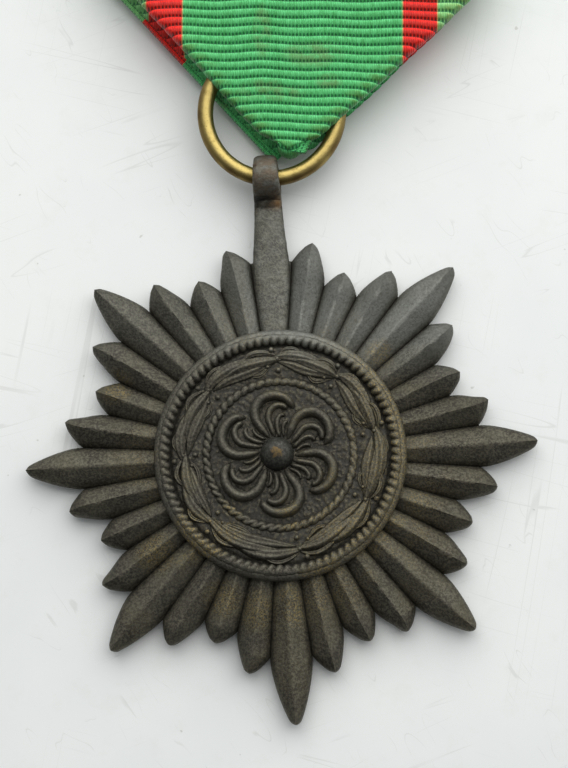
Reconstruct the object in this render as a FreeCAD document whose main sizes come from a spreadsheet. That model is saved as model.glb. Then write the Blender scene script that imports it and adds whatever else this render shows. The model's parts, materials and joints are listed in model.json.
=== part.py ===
"""A rayed star service medal on its suspension ring and folded ribbon, with a sewn-on brooch.

Frame: millimetres, +Z out of the star's face, +Y towards the top of the ribbon, origin at the
centre of the star's flat back, on the surface that the medal lies on. The star leans a few
degrees in its loop, as it came to rest. The ribbon, ring and brooch share a second frame, the
hanging frame: its origin is the lowest point of the ring's wire, and it is pitched up slightly,
because the brooch lifts the top of the ribbon off the surface.
"""

import FreeCAD
import Part
import Sketcher
import os

from FreeCAD import Placement, Rotation, Vector

X_AXIS, Y_AXIS, Z_AXIS = Vector(1, 0, 0), Vector(0, 1, 0), Vector(0, 0, 1)

SIZES = (
    # the star: thirty-two rays about a round hub
    ("main_tip_radius", 20.0, "centre to the tip of a main ray"),
    ("main_shoulder_radius", 15.7, "where a main ray leaves its neighbours, at its widest"),
    ("main_width", 3.3, "main ray across its shoulder"),
    ("medium_tip_radius", 17.0, "the ray each side of a main ray"),
    ("medium_shoulder_radius", 14.4, "where it is widest"),
    ("medium_width", 2.95, "across its shoulder"),
    ("short_tip_radius", 15.6, "the ray half way between two main rays"),
    ("short_shoulder_radius", 13.6, "where it is widest"),
    ("short_width", 2.75, "across its shoulder"),
    ("ray_root_radius", 8.0, "the rays start inside the hub"),
    ("ray_root_width", 1.7, "across a ray at its root"),
    ("ray_tip_width", 0.36, "across the blunted tip"),
    ("ray_plane", 1.4, "height of the rays' middle plane above the flat back"),
    ("ray_edge_half", 0.34, "half the thickness of a ray's edge"),
    ("ray_ridge_rise", 1.1, "ridge above the middle plane, from root to shoulder"),
    ("ray_ridge_drop", 0.95, "reverse ridge below the middle plane"),
    ("ray_tip_rise", 0.5, "ridge above and below the middle plane at the tip"),
    ("ray_pitch", 11.25, "degrees between neighbouring rays"),
    ("hub_radius", 9.9, "the round hub that carries the medallion"),
    ("hub_height", 2.55, "flat back to the medallion's seat, just above the ridges"),
    ("star_lean", 3.3, "degrees that the star leans from the ribbon's line"),
    # the strap that runs up from the top ray and curls into the loop
    ("loop_height", 22.1, "star centre to the loop's axis"),
    ("loop_radius", 1.6, "outside of the curl"),
    ("loop_hole_radius", 0.96, "inside of the curl"),
    ("loop_width", 2.06, "length of the curl along its axis"),
    ("strap_back", 0.9, "height of the strap's back, tangent to the curl"),
    ("strap_thickness", 1.15, "strap, front to back"),
    ("strap_root_width", 3.3, "strap where it leaves the rays"),
    ("strap_waist_width", 2.2, "strap under the curl"),
    ("strap_root_height", 14.5, "star centre to the strap's root"),
    ("strap_shoulder_height", 15.8, "star centre to its widest place"),
    ("strap_waist_height", 19.8, "star centre to its narrow place"),
    # the medallion and the stud that holds it
    ("medallion_radius", 9.7, "applied disc"),
    ("medallion_plate", 0.5, "plain thickness of the disc"),
    ("outer_border_radius", 9.07, "middle of the outer corded border"),
    ("outer_border_half", 0.33, "half its width"),
    ("border_height", 0.5, "borders above the plate"),
    ("border_crown", 0.5, "a border's flat top as a share of its foot"),
    ("wreath_inner", 6.2, "leaf wreath, inside radius"),
    ("wreath_outer", 8.6, "leaf wreath, outside radius"),
    ("wreath_height", 0.35, "leaf wreath above the plate"),
    ("inner_border_radius", 5.75, "middle of the inner corded border"),
    ("inner_border_half", 0.3, "half its width"),
    ("petal_centre", 3.1, "star centre to the middle of a petal"),
    ("petal_radius", 1.42, "one of the six petals"),
    ("petal_height", 0.6, "petals above the plate"),
    ("stud_shank_radius", 0.6, "centre stud in its blind hole"),
    ("stud_hole_floor", 0.8, "metal left between the blind hole and the flat back"),
    ("boss_radius", 1.3, "stud's domed head"),
    ("boss_rise", 1.2, "head above the plate"),
    # the suspension ring
    ("ring_radius", 5.09, "middle of the wire"),
    ("wire_radius", 0.6, "the ring's round wire"),
    ("loop_offset", 0.4, "the loop sits this far left of the ring's lowest point"),
    # the ribbon, folded to a point round the ring
    ("hang_pitch", 2.1, "degrees that ribbon and ring pitch up to the brooch"),
    ("ribbon_left", -14.35, "left edge in the hanging frame"),
    ("ribbon_right", 17.65, "right edge, for a ribbon 32 wide"),
    ("ribbon_top", 46.0, "ribbon's fold over the top"),
    ("left_shoulder", 18.2, "where the left edge turns in to the point"),
    ("right_shoulder", 16.1, "where the right edge turns in to the point"),
    ("point_left", 0.75, "the blunt point, left end"),
    ("point_right", 2.3, "the blunt point, right end"),
    ("point_height", 1.35, "the blunt point above the ring's lowest wire"),
    ("leaf_inner", 0.72, "leaf's inner face from the ring's plane"),
    ("leaf_thickness", 0.8, "two layers of grosgrain"),
    ("back_shift", 0.55, "the back leaf lies this far left of the front leaf"),
    ("waist_left", 0.85, "the gathered waist that passes through the ring, left side"),
    ("waist_right", 2.15, "right side"),
    ("waist_height", 0.9, "its depth up from the point"),
    ("hem_depth", 3.0, "sewn hem where the leaves meet"),
    ("stiffener_left", -13.2, "buckram inside the leaves"),
    ("stiffener_right", 16.5, "right edge"),
    ("stiffener_bottom", 21.0, "lower edge"),
    ("stiffener_half", 0.45, "half its thickness"),
    # the brooch on the back
    ("ribbon_middle", 1.65, "ribbon's centre line in the hanging frame"),
    ("bar_gap", 0.03, "ribbon to bar"),
    ("bar_thickness", 0.8, "sheet of the bar"),
    ("bar_half_length", 13.0, "bar from the ribbon's centre line"),
    ("bar_top", 42.4, "upper edge"),
    ("bar_bottom", 39.4, "lower edge between the lugs"),
    ("lug_bottom", 35.9, "lower edge of the two lugs"),
    ("lug_width", 2.8, "each lug along the bar"),
    ("pin_height", 37.3, "needle's line"),
    ("pivot_inset", 1.8, "rivet from the bar's left end"),
    ("pivot_radius", 0.6, "rivet shank"),
    ("pivot_clearance", 0.05, "needle's eye round the shank"),
    ("pivot_head_radius", 1.2, "rivet head"),
    ("pivot_head_thickness", 0.45, "rivet head"),
    ("side_play", 0.06, "between lug, eye and head"),
    ("eye_radius", 1.6, "needle's eye, outside"),
    ("eye_thickness", 0.9, "needle's eye"),
    ("eye_root", 0.3, "the shank starts this far inside the eye's rim"),
    ("needle_radius", 0.4, "needle"),
    ("needle_length", 20.6, "pivot to where the point starts to taper"),
    ("needle_taper", 3.2, "length of the point"),
    ("needle_point_radius", 0.07, "blunted point"),
    ("catch_inset", 0.3, "catch from the bar's right end"),
    ("catch_length", 2.6, "catch along the needle"),
    ("catch_sheet", 0.4, "catch's metal"),
    ("catch_gap", 0.12, "air under and behind the needle in the catch"),
    ("catch_reach", 0.75, "lip past the needle's line"),
    ("stitch_hole_radius", 0.42, "sewing holes in the bar"),
    ("stitch_spacing", 1.8, "between the two holes of a stitch"),
    ("stitch_size", 0.5, "bundle of thread"),
    ("stitch_outer", 11.2, "outer stitches from the centre line"),
    ("stitch_inner", 5.2, "inner stitches from the centre line"),
)

FULL_TURN = 360
PETAL_COUNT = 6
# kind of ray, turn of the first one from the top ray, and how many there are
RAYS = (
    ("main", "0", 8),
    ("medium", "sizes.ray_pitch", 16),
    ("short", "sizes.ray_pitch * 2", 8),
)
DOME_STEPS = (0, 25, 50, 72)
STITCH_PLACES = (
    "-sizes.stitch_outer",
    "-sizes.stitch_inner",
    "sizes.stitch_inner",
    "sizes.stitch_outer",
)
BAR_FACE = "(-(sizes.leaf_inner + sizes.leaf_thickness + sizes.bar_gap))"
BAR_UNDER = f"({BAR_FACE} - sizes.bar_thickness)"
EYE_TOP = f"({BAR_UNDER} - sizes.side_play)"
NEEDLE_Z = f"({EYE_TOP} - sizes.eye_thickness / 2)"
PIVOT_X = "(sizes.ribbon_middle - sizes.bar_half_length + sizes.pivot_inset)"
BAR_MIDDLE = "((sizes.bar_top + sizes.bar_bottom) / 2)"
LOOP_Z = "(sizes.strap_back + sizes.loop_radius)"

doc = FreeCAD.newDocument("star_medal")


def make_sheet():
    """The driving dimensions, one aliased cell each."""
    table = doc.addObject("Spreadsheet::Sheet", "sizes")
    for row, (alias, value, note) in enumerate(SIZES, start=1):
        table.set(f"A{row}", alias)
        table.set(f"B{row}", str(value))
        table.set(f"C{row}", note)
        table.setAlias(f"B{row}", alias)
    doc.recompute()
    return table


sheet = make_sheet()


def value_of(expression):
    """The number that an expression over the sheet gives."""
    result = sheet.evalExpression(expression)
    return float(getattr(result, "Value", result))


def bind(thing, **expressions):
    """Binds properties to expressions; a double underscore in a name stands for a dot."""
    for name, expression in expressions.items():
        thing.setExpression(name.replace("__", "."), expression)


def make_body(label):
    body = doc.addObject("PartDesign::Body", label)
    body.Label = label
    return body


def origin_feature(body, role):
    return next(f for f in body.Origin.OriginFeatures if f.Role == role)


def make_sketch(body, name, plane, offset="0", turn=None):
    """An empty sketch parallel to one of the body's origin planes, offset along its normal.

    turn swings the sketch round the body's Z axis, for a sketch on the XZ plane only.
    """
    sketch = body.newObject("Sketcher::SketchObject", name)
    sketch.AttachmentSupport = [(origin_feature(body, plane), "")]
    sketch.MapMode = "FlatFace"
    if turn is None:
        bind(sketch, AttachmentOffset__Base__z=offset)
        return sketch
    sketch.AttachmentOffset = Placement(Vector(), Rotation(Y_AXIS, value_of(turn)))
    bind(
        sketch,
        AttachmentOffset__Base__x=f"({offset}) * sin({turn})",
        AttachmentOffset__Base__z=f"({offset}) * cos({turn})",
        AttachmentOffset__Rotation__Angle=turn,
    )
    return sketch


def fix_point(sketch, geometry, position, x, y):
    """Holds a point of the sketch at two expressions, measured from the sketch's origin."""
    for kind, expression in (("DistanceX", x), ("DistanceY", y)):
        rule = Sketcher.Constraint(kind, -1, 1, geometry, position, value_of(expression))
        index = sketch.addConstraint(rule)
        sketch.setExpression(f"Constraints[{index}]", expression)


def add_polygon(sketch, corners):
    """A closed polygon whose corners are pairs of expressions."""
    points = [Vector(value_of(x), value_of(y), 0) for x, y in corners]
    first = sketch.GeometryCount
    count = len(points)
    for i, point in enumerate(points):
        sketch.addGeometry(Part.LineSegment(point, points[(i + 1) % count]), False)
    for i in range(count):
        following = first + (i + 1) % count
        sketch.addConstraint(Sketcher.Constraint("Coincident", first + i, 2, following, 1))
    for i, (x, y) in enumerate(corners):
        fix_point(sketch, first + i, 1, x, y)
    return sketch


def add_circle(sketch, x, y, radius):
    """A circle whose centre and radius are expressions."""
    centre = Vector(value_of(x), value_of(y), 0)
    index = sketch.addGeometry(Part.Circle(centre, Z_AXIS, value_of(radius)), False)
    if value_of(x) == 0 and value_of(y) == 0:
        sketch.addConstraint(Sketcher.Constraint("Coincident", index, 3, -1, 1))
    else:
        fix_point(sketch, index, 3, x, y)
    rule = sketch.addConstraint(Sketcher.Constraint("Radius", index, value_of(radius)))
    sketch.setExpression(f"Constraints[{rule}]", radius)
    return sketch


def pad(body, name, sketch, length, midplane=False):
    feature = body.newObject("PartDesign::Pad", name)
    feature.Profile = sketch
    feature.Midplane = midplane
    bind(feature, Length=length)
    doc.recompute()
    return feature


def cut_through(body, name, sketch):
    """A pocket through everything on both sides of the sketch; it must take metal away."""
    before = body.Shape.Volume
    feature = body.newObject("PartDesign::Pocket", name)
    feature.Profile = sketch
    feature.Type = "ThroughAll"
    feature.Midplane = True
    doc.recompute()
    if body.Shape.Volume >= before:
        raise RuntimeError(f"{name} cut nothing")
    return feature


def cut_upwards(body, name, sketch, depth):
    """A blind pocket from the sketch along its normal; it must take metal away."""
    before = body.Shape.Volume
    feature = body.newObject("PartDesign::Pocket", name)
    feature.Profile = sketch
    feature.Reversed = True
    bind(feature, Length=depth)
    doc.recompute()
    if body.Shape.Volume >= before:
        raise RuntimeError(f"{name} cut nothing")
    return feature


def polar(body, name, feature, count):
    pattern = body.newObject("PartDesign::PolarPattern", name)
    pattern.Originals = [feature]
    pattern.Axis = (origin_feature(body, "Z_Axis"), [""])
    pattern.Angle = FULL_TURN
    pattern.Occurrences = count
    body.Tip = pattern
    doc.recompute()
    return pattern


def revolve(body, name, sketch, axis):
    feature = body.newObject("PartDesign::Revolution", name)
    feature.Profile = sketch
    feature.ReferenceAxis = (origin_feature(body, axis), [""])
    feature.Angle = FULL_TURN
    doc.recompute()
    return feature


def lean_star(thing):
    """Puts a piece of the star in place: leaning about the star's centre."""
    thing.Placement = Placement(Vector(), Rotation(Z_AXIS, value_of("sizes.star_lean")))
    bind(thing, Placement__Rotation__Angle="sizes.star_lean")


def hang(thing):
    """Puts a piece in the hanging frame, whose origin is the lowest point of the ring's wire."""
    pitch = Rotation(X_AXIS, value_of("sizes.hang_pitch"))
    thing.Placement = Placement(Vector(), pitch)
    bind(
        thing,
        Placement__Base__x="sizes.loop_offset - sizes.loop_height * sin(sizes.star_lean)",
        Placement__Base__y="sizes.loop_height * cos(sizes.star_lean)",
        Placement__Base__z=LOOP_Z,
        Placement__Rotation__Angle="sizes.hang_pitch",
    )


def ray_section(body, name, radius, width, rise, drop, turn):
    """A ray's six-sided section: two thin edges, and a ridge on the face and on the reverse."""
    sketch = make_sketch(body, name, "XZ_Plane", f"-({radius})", turn)
    half = f"({width}) / 2"
    high = "sizes.ray_plane + sizes.ray_edge_half"
    low = "sizes.ray_plane - sizes.ray_edge_half"
    corners = (
        (f"-{half}", low),
        ("0", f"sizes.ray_plane - ({drop})"),
        (half, low),
        (half, high),
        ("0", f"sizes.ray_plane + ({rise})"),
        (f"-{half}", high),
    )
    return add_polygon(sketch, corners)


def make_rays(body, kind, turn, count):
    """One ray lofted from root through shoulder to tip, repeated round the hub."""
    rise, drop = "sizes.ray_ridge_rise", "sizes.ray_ridge_drop"
    blunt = "sizes.ray_tip_rise"
    places = (
        ("root", "sizes.ray_root_radius", "sizes.ray_root_width", rise, drop),
        ("shoulder", f"sizes.{kind}_shoulder_radius", f"sizes.{kind}_width", rise, drop),
        ("tip", f"sizes.{kind}_tip_radius", "sizes.ray_tip_width", blunt, blunt),
    )
    sections = [
        ray_section(body, f"{kind}_{place}", radius, width, high, low, turn)
        for place, radius, width, high, low in places
    ]
    doc.recompute()
    loft = body.newObject("PartDesign::AdditiveLoft", f"{kind}_ray")
    loft.Profile = sections[0]
    loft.Sections = sections[1:]
    loft.Ruled = True
    doc.recompute()
    polar(body, f"{kind}_rays", loft, count)


def make_strap(body):
    """The flat strap from the top ray to the loop, and the curl with its cross hole."""
    outline = make_sketch(body, "strap_outline", "XY_Plane", "sizes.strap_back")
    levels = (
        ("sizes.ray_root_width", "sizes.strap_root_height"),
        ("sizes.strap_root_width", "sizes.strap_shoulder_height"),
        ("sizes.strap_waist_width", "sizes.strap_waist_height"),
        ("sizes.loop_width", "sizes.loop_height"),
    )
    right = [(f"{width} / 2", height) for width, height in levels]
    left = [(f"-{width} / 2", height) for width, height in reversed(levels)]
    add_polygon(outline, right + left)
    pad(body, "strap", outline, "sizes.strap_thickness")
    curl = make_sketch(body, "curl_outline", "YZ_Plane")
    add_circle(curl, "sizes.loop_height", LOOP_Z, "sizes.loop_radius")
    pad(body, "curl", curl, "sizes.loop_width", midplane=True)
    hole = make_sketch(body, "curl_hole", "YZ_Plane")
    add_circle(hole, "sizes.loop_height", LOOP_Z, "sizes.loop_hole_radius")
    cut_through(body, "curl_bore", hole)


def make_star():
    """Hub, thirty-two rays, strap and loop, all one casting."""
    body = make_body("star")
    disc = make_sketch(body, "hub_outline", "XY_Plane")
    add_circle(disc, "0", "0", "sizes.hub_radius")
    pad(body, "hub", disc, "sizes.hub_height")
    for kind, turn, count in RAYS:
        make_rays(body, kind, turn, count)
    make_strap(body)
    hole = make_sketch(body, "stud_hole_outline", "XY_Plane", "sizes.stud_hole_floor")
    add_circle(hole, "0", "0", "sizes.stud_shank_radius")
    cut_upwards(body, "stud_hole", hole, "sizes.hub_height")
    lean_star(body)
    return body


def add_border(corners, middle, half, top, high):
    """Adds one raised border to a half profile that runs inwards along the plate's face."""
    corners += [
        (f"{middle} + {half}", top),
        (f"{middle} + {half} * sizes.border_crown", high),
        (f"{middle} - {half} * sizes.border_crown", high),
        (f"{middle} - {half}", top),
    ]


def make_medallion():
    """The applied disc: corded borders and wreath as plain rings, with six petals."""
    body = make_body("centre_medallion")
    profile = make_sketch(body, "disc_profile", "XZ_Plane")
    seat = "sizes.hub_height"
    top = "(sizes.hub_height + sizes.medallion_plate)"
    corners = [
        ("sizes.stud_shank_radius", seat),
        ("sizes.medallion_radius", seat),
        ("sizes.medallion_radius", top),
    ]
    high = f"{top} + sizes.border_height"
    add_border(corners, "sizes.outer_border_radius", "sizes.outer_border_half", top, high)
    middle = "(sizes.wreath_inner + sizes.wreath_outer) / 2"
    half = "(sizes.wreath_outer - sizes.wreath_inner) / 2"
    add_border(corners, middle, half, top, f"{top} + sizes.wreath_height")
    add_border(corners, "sizes.inner_border_radius", "sizes.inner_border_half", top, high)
    corners.append(("sizes.stud_shank_radius", top))
    add_polygon(profile, corners)
    revolve(body, "disc", profile, "Z_Axis")
    petal = make_sketch(body, "petal_outline", "XY_Plane", seat)
    add_circle(petal, "0", "sizes.petal_centre", "sizes.petal_radius")
    raised = pad(body, "petal", petal, "sizes.medallion_plate + sizes.petal_height")
    polar(body, "petals", raised, PETAL_COUNT)
    lean_star(body)
    return body


def make_centre_stud():
    """The stud pressed through the medallion into the hub, with a domed head in front."""
    body = make_body("centre_stud")
    profile = make_sketch(body, "stud_profile", "XZ_Plane")
    top = "(sizes.hub_height + sizes.medallion_plate)"
    shank = [
        ("0", "sizes.stud_hole_floor"),
        ("sizes.stud_shank_radius", "sizes.stud_hole_floor"),
        ("sizes.stud_shank_radius", top),
    ]
    dome = [
        (f"sizes.boss_radius * cos({step})", f"{top} + sizes.boss_rise * sin({step})")
        for step in DOME_STEPS
    ]
    add_polygon(profile, [*shank, *dome, ("0", f"{top} + sizes.boss_rise")])
    revolve(body, "stud", profile, "Z_Axis")
    lean_star(body)
    return body


def make_ring():
    """The closed ring of round wire, its lowest point at the hanging frame's origin."""
    ring = doc.addObject("Part::Torus", "suspension_ring")
    ring.Label = "suspension_ring"
    bind(ring, Radius1="sizes.ring_radius", Radius2="sizes.wire_radius")
    hang(ring)
    bind(
        ring,
        Placement__Base__y="sizes.loop_height * cos(sizes.star_lean)"
        " + sizes.ring_radius * cos(sizes.hang_pitch)",
        Placement__Base__z=f"{LOOP_Z} + sizes.ring_radius * sin(sizes.hang_pitch)",
    )
    return ring


def leaf_corners(shift):
    """The outline of one leaf of the ribbon: full width above, a blunt point below."""
    return (
        (f"sizes.ribbon_left - {shift}", "sizes.ribbon_top"),
        (f"sizes.ribbon_left - {shift}", "sizes.left_shoulder"),
        ("sizes.point_left", "sizes.point_height"),
        ("sizes.point_right", "sizes.point_height"),
        (f"sizes.ribbon_right - {shift}", "sizes.right_shoulder"),
        (f"sizes.ribbon_right - {shift}", "sizes.ribbon_top"),
    )


def make_ribbon():
    """One strip of grosgrain: a front and a back leaf, the waist in the ring, and the hem."""
    body = make_body("ribbon")
    front = make_sketch(body, "front_outline", "XY_Plane", "sizes.leaf_inner")
    add_polygon(front, leaf_corners("0"))
    pad(body, "front_leaf", front, "sizes.leaf_thickness")
    whole = "2 * (sizes.leaf_inner + sizes.leaf_thickness)"
    under = "-(sizes.leaf_inner + sizes.leaf_thickness)"
    waist = make_sketch(body, "waist_outline", "XY_Plane", under)
    bottom = "sizes.point_height"
    crown = "sizes.point_height + sizes.waist_height"
    corners = (
        ("sizes.waist_left", bottom),
        ("sizes.waist_right", bottom),
        ("sizes.waist_right", crown),
        ("sizes.waist_left", crown),
    )
    add_polygon(waist, corners)
    pad(body, "waist", waist, whole)
    hem = make_sketch(body, "hem_outline", "XY_Plane", under)
    low = "sizes.ribbon_top - sizes.hem_depth"
    left = "sizes.ribbon_left - sizes.back_shift"
    corners = (
        (left, low),
        ("sizes.ribbon_right", low),
        ("sizes.ribbon_right", "sizes.ribbon_top"),
        (left, "sizes.ribbon_top"),
    )
    add_polygon(hem, corners)
    pad(body, "hem", hem, whole)
    back = make_sketch(body, "back_outline", "XY_Plane", under)
    add_polygon(back, leaf_corners("sizes.back_shift"))
    pad(body, "back_leaf", back, "sizes.leaf_thickness")
    hang(body)
    return body


def make_stiffener():
    """A slip of buckram between the leaves, caught in the hem."""
    body = make_body("ribbon_stiffener")
    outline = make_sketch(body, "slip_outline", "XY_Plane", "-sizes.stiffener_half")
    high = "sizes.ribbon_top - sizes.hem_depth"
    corners = (
        ("sizes.stiffener_left", "sizes.stiffener_bottom"),
        ("sizes.stiffener_right", "sizes.stiffener_bottom"),
        ("sizes.stiffener_right", high),
        ("sizes.stiffener_left", high),
    )
    add_polygon(outline, corners)
    pad(body, "slip", outline, "2 * sizes.stiffener_half")
    hang(body)
    return body


def make_brooch_bar():
    """The flat bar with a lug at each end, a rivet hole and four pairs of sewing holes."""
    body = make_body("brooch_bar")
    outline = make_sketch(body, "bar_outline", "XY_Plane", BAR_UNDER)
    left = "sizes.ribbon_middle - sizes.bar_half_length"
    right = "sizes.ribbon_middle + sizes.bar_half_length"
    corners = (
        (left, "sizes.lug_bottom"),
        (f"{left} + sizes.lug_width", "sizes.lug_bottom"),
        (f"{left} + sizes.lug_width", "sizes.bar_bottom"),
        (f"{right} - sizes.lug_width", "sizes.bar_bottom"),
        (f"{right} - sizes.lug_width", "sizes.lug_bottom"),
        (right, "sizes.lug_bottom"),
        (right, "sizes.bar_top"),
        (left, "sizes.bar_top"),
    )
    add_polygon(outline, corners)
    pad(body, "bar", outline, "sizes.bar_thickness")
    holes = make_sketch(body, "holes_outline", "XY_Plane", BAR_UNDER)
    add_circle(holes, PIVOT_X, "sizes.pin_height", "sizes.pivot_radius")
    for place in STITCH_PLACES:
        for side in ("-", "+"):
            x = f"sizes.ribbon_middle + {place} {side} sizes.stitch_spacing / 2"
            add_circle(holes, x, BAR_MIDDLE, "sizes.stitch_hole_radius")
    cut_through(body, "holes", holes)
    hang(body)
    return body


def make_brooch_pin():
    """The needle: a flat eye on the rivet, a round shank and a tapered point."""
    body = make_body("brooch_pin")
    eye = make_sketch(body, "eye_outline", "XY_Plane", f"{EYE_TOP} - sizes.eye_thickness")
    add_circle(eye, PIVOT_X, "sizes.pin_height", "sizes.eye_radius")
    pad(body, "eye", eye, "sizes.eye_thickness")
    shank = make_sketch(body, "shank_profile", "XY_Plane", NEEDLE_Z)
    start = f"{PIVOT_X} + sizes.eye_radius - sizes.eye_root"
    neck = f"{PIVOT_X} + sizes.needle_length"
    tip = f"{neck} + sizes.needle_taper"
    axis = "sizes.pin_height"
    corners = (
        (start, axis),
        (tip, axis),
        (tip, f"{axis} + sizes.needle_point_radius"),
        (neck, f"{axis} + sizes.needle_radius"),
        (start, f"{axis} + sizes.needle_radius"),
    )
    add_polygon(shank, corners)
    turned = body.newObject("PartDesign::Revolution", "shank")
    turned.Profile = shank
    turned.ReferenceAxis = (shank, ["Edge1"])
    turned.Angle = FULL_TURN
    doc.recompute()
    hole = make_sketch(body, "eye_hole_outline", "XY_Plane", EYE_TOP)
    add_circle(hole, PIVOT_X, axis, "sizes.pivot_radius + sizes.pivot_clearance")
    cut_through(body, "eye_hole", hole)
    hang(body)
    return body


def make_pin_rivet():
    """The rivet that the needle turns on: its head under the eye, its tail flush in the lug."""
    body = make_body("pin_rivet")
    under_eye = f"{EYE_TOP} - sizes.eye_thickness - sizes.side_play"
    head_low = f"{under_eye} - sizes.pivot_head_thickness"
    shank = make_sketch(body, "shank_outline", "XY_Plane", under_eye)
    add_circle(shank, PIVOT_X, "sizes.pin_height", "sizes.pivot_radius")
    pad(body, "shank", shank, f"{BAR_FACE} - ({under_eye})")
    head = make_sketch(body, "head_outline", "XY_Plane", head_low)
    add_circle(head, PIVOT_X, "sizes.pin_height", "sizes.pivot_head_radius")
    pad(body, "head", head, "sizes.pivot_head_thickness")
    hang(body)
    return body


def make_pin_catch():
    """The bent-up catch under the right lug, open downwards so that the needle swings out."""
    body = make_body("pin_catch")
    end = "sizes.ribbon_middle + sizes.bar_half_length - sizes.catch_inset"
    profile = make_sketch(body, "catch_profile", "YZ_Plane", f"{end} - sizes.catch_length")
    wall = "(sizes.pin_height + sizes.needle_radius + sizes.catch_gap)"
    lip_top = f"({NEEDLE_Z} - sizes.needle_radius - sizes.catch_gap)"
    corners = (
        (wall, BAR_UNDER),
        (wall, lip_top),
        ("sizes.pin_height - sizes.catch_reach", lip_top),
        ("sizes.pin_height - sizes.catch_reach", f"{lip_top} - sizes.catch_sheet"),
        (f"{wall} + sizes.catch_sheet", f"{lip_top} - sizes.catch_sheet"),
        (f"{wall} + sizes.catch_sheet", BAR_UNDER),
    )
    add_polygon(profile, corners)
    pad(body, "catch", profile, "sizes.catch_length")
    hang(body)
    return body


def make_stitch(number, place):
    """One thread stitch: two legs through the bar to the ribbon, and the bridge between them."""
    middle = f"(sizes.ribbon_middle + {place})"
    half = "sizes.stitch_size / 2"
    leg_length = f"{BAR_FACE} + sizes.bar_gap - ({BAR_UNDER} - sizes.stitch_size)"
    pieces = []
    for side in ("-", "+"):
        leg = doc.addObject("Part::Box", f"stitch_leg_{number}_{len(pieces)}")
        bind(
            leg,
            Length="sizes.stitch_size",
            Width="sizes.stitch_size",
            Height=leg_length,
            Placement__Base__x=f"{middle} {side} sizes.stitch_spacing / 2 - {half}",
            Placement__Base__y=f"{BAR_MIDDLE} - {half}",
            Placement__Base__z=f"{BAR_UNDER} - sizes.stitch_size",
        )
        pieces.append(leg)
    bridge = doc.addObject("Part::Box", f"stitch_bridge_{number}")
    bind(
        bridge,
        Length="sizes.stitch_spacing",
        Width="sizes.stitch_size",
        Height="sizes.stitch_size",
        Placement__Base__x=f"{middle} - sizes.stitch_spacing / 2",
        Placement__Base__y=f"{BAR_MIDDLE} - {half}",
        Placement__Base__z=f"{BAR_UNDER} - sizes.stitch_size",
    )
    stitch = doc.addObject("Part::MultiFuse", f"stitch_{number}")
    stitch.Shapes = [*pieces, bridge]
    stitch.Refine = True
    return stitch


def make_stitches():
    """The four stitches that hold the bar to the ribbon, one group of separate solids."""
    group = doc.addObject("Part::Compound", "bar_stitches")
    group.Label = "bar_stitches"
    group.Links = [make_stitch(n, place) for n, place in enumerate(STITCH_PLACES, start=1)]
    hang(group)
    return group


def check(subparts):
    """Stops if any object failed to compute or any sub-part is empty or invalid."""
    failed = [o.Name for o in doc.Objects if {"Invalid", "Error"} & set(o.State)]
    if failed:
        raise RuntimeError(f"these objects failed to compute: {failed}")
    for part in subparts:
        if part.Shape.isNull() or not part.Shape.isValid() or not part.Shape.Solids:
            raise RuntimeError(f"{part.Label} has no valid solid")


def main():
    subparts = [
        make_star(),
        make_medallion(),
        make_centre_stud(),
        make_ring(),
        make_ribbon(),
        make_stiffener(),
        make_brooch_bar(),
        make_brooch_pin(),
        make_pin_rivet(),
        make_pin_catch(),
        make_stitches(),
    ]
    doc.recompute()
    check(subparts)
    os.makedirs("parts", exist_ok=True)
    for part in subparts:
        part.Shape.exportStep(os.path.join("parts", f"{part.Label}.step"))
        box = part.Shape.BoundBox
        print(
            f"{part.Label}: {len(part.Shape.Solids)} solid(s), {part.Shape.Volume:.2f} mm3, "
            f"x {box.XMin:.2f} to {box.XMax:.2f}, y {box.YMin:.2f} to {box.YMax:.2f}, "
            f"z {box.ZMin:.2f} to {box.ZMax:.2f}"
        )


main()
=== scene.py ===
"""A rayed star service medal lying on a white surface: its looks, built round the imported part.

Lengths are in millimetres in two local frames. The star frame has its origin at the star's centre
and +Y towards the loop. The hanging frame has its origin in the loop, by the lowest point of the
ring's wire, and +Y up the ribbon. Each piece is turned into the part's own frame, in metres.
"""

import bmesh
import bpy
import json
import math
import numpy as np

from mathutils import Matrix, Vector, noise


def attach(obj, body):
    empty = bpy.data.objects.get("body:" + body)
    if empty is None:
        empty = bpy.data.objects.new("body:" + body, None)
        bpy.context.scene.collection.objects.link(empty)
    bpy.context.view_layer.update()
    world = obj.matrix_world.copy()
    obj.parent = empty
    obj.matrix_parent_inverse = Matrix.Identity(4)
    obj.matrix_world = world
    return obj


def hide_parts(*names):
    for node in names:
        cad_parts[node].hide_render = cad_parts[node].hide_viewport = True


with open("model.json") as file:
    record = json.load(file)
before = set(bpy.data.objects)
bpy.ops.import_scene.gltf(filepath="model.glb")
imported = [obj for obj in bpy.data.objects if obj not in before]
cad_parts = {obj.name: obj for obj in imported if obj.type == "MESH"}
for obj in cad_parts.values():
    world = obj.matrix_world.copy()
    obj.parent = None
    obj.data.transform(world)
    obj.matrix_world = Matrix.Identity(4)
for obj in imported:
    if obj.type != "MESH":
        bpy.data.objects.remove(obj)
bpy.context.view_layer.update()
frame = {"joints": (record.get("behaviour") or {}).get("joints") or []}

MM = 0.001
JOINTS = {joint["name"]: joint for joint in frame["joints"]}
LOOP = Vector(JOINTS["star_swing"]["pos_m"]) / MM
SLIDE = JOINTS["ring_slide"]["axis"]
LEAN = math.atan2(-LOOP.x, LOOP.y)
PITCH = math.atan2(SLIDE[2], SLIDE[1]) + math.pi
LOOP_HEIGHT = math.hypot(LOOP.x, LOOP.y)
LOOP_OFFSET = 0.4
STAR_FRAME = np.array(Matrix.Rotation(LEAN, 4, "Z"))
HANG_FRAME = np.array(
    Matrix.Translation(LOOP + Vector((LOOP_OFFSET, 0, 0))) @ Matrix.Rotation(PITCH, 4, "X")
)


# ---------------------------------------------------------------- mesh tools


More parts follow.
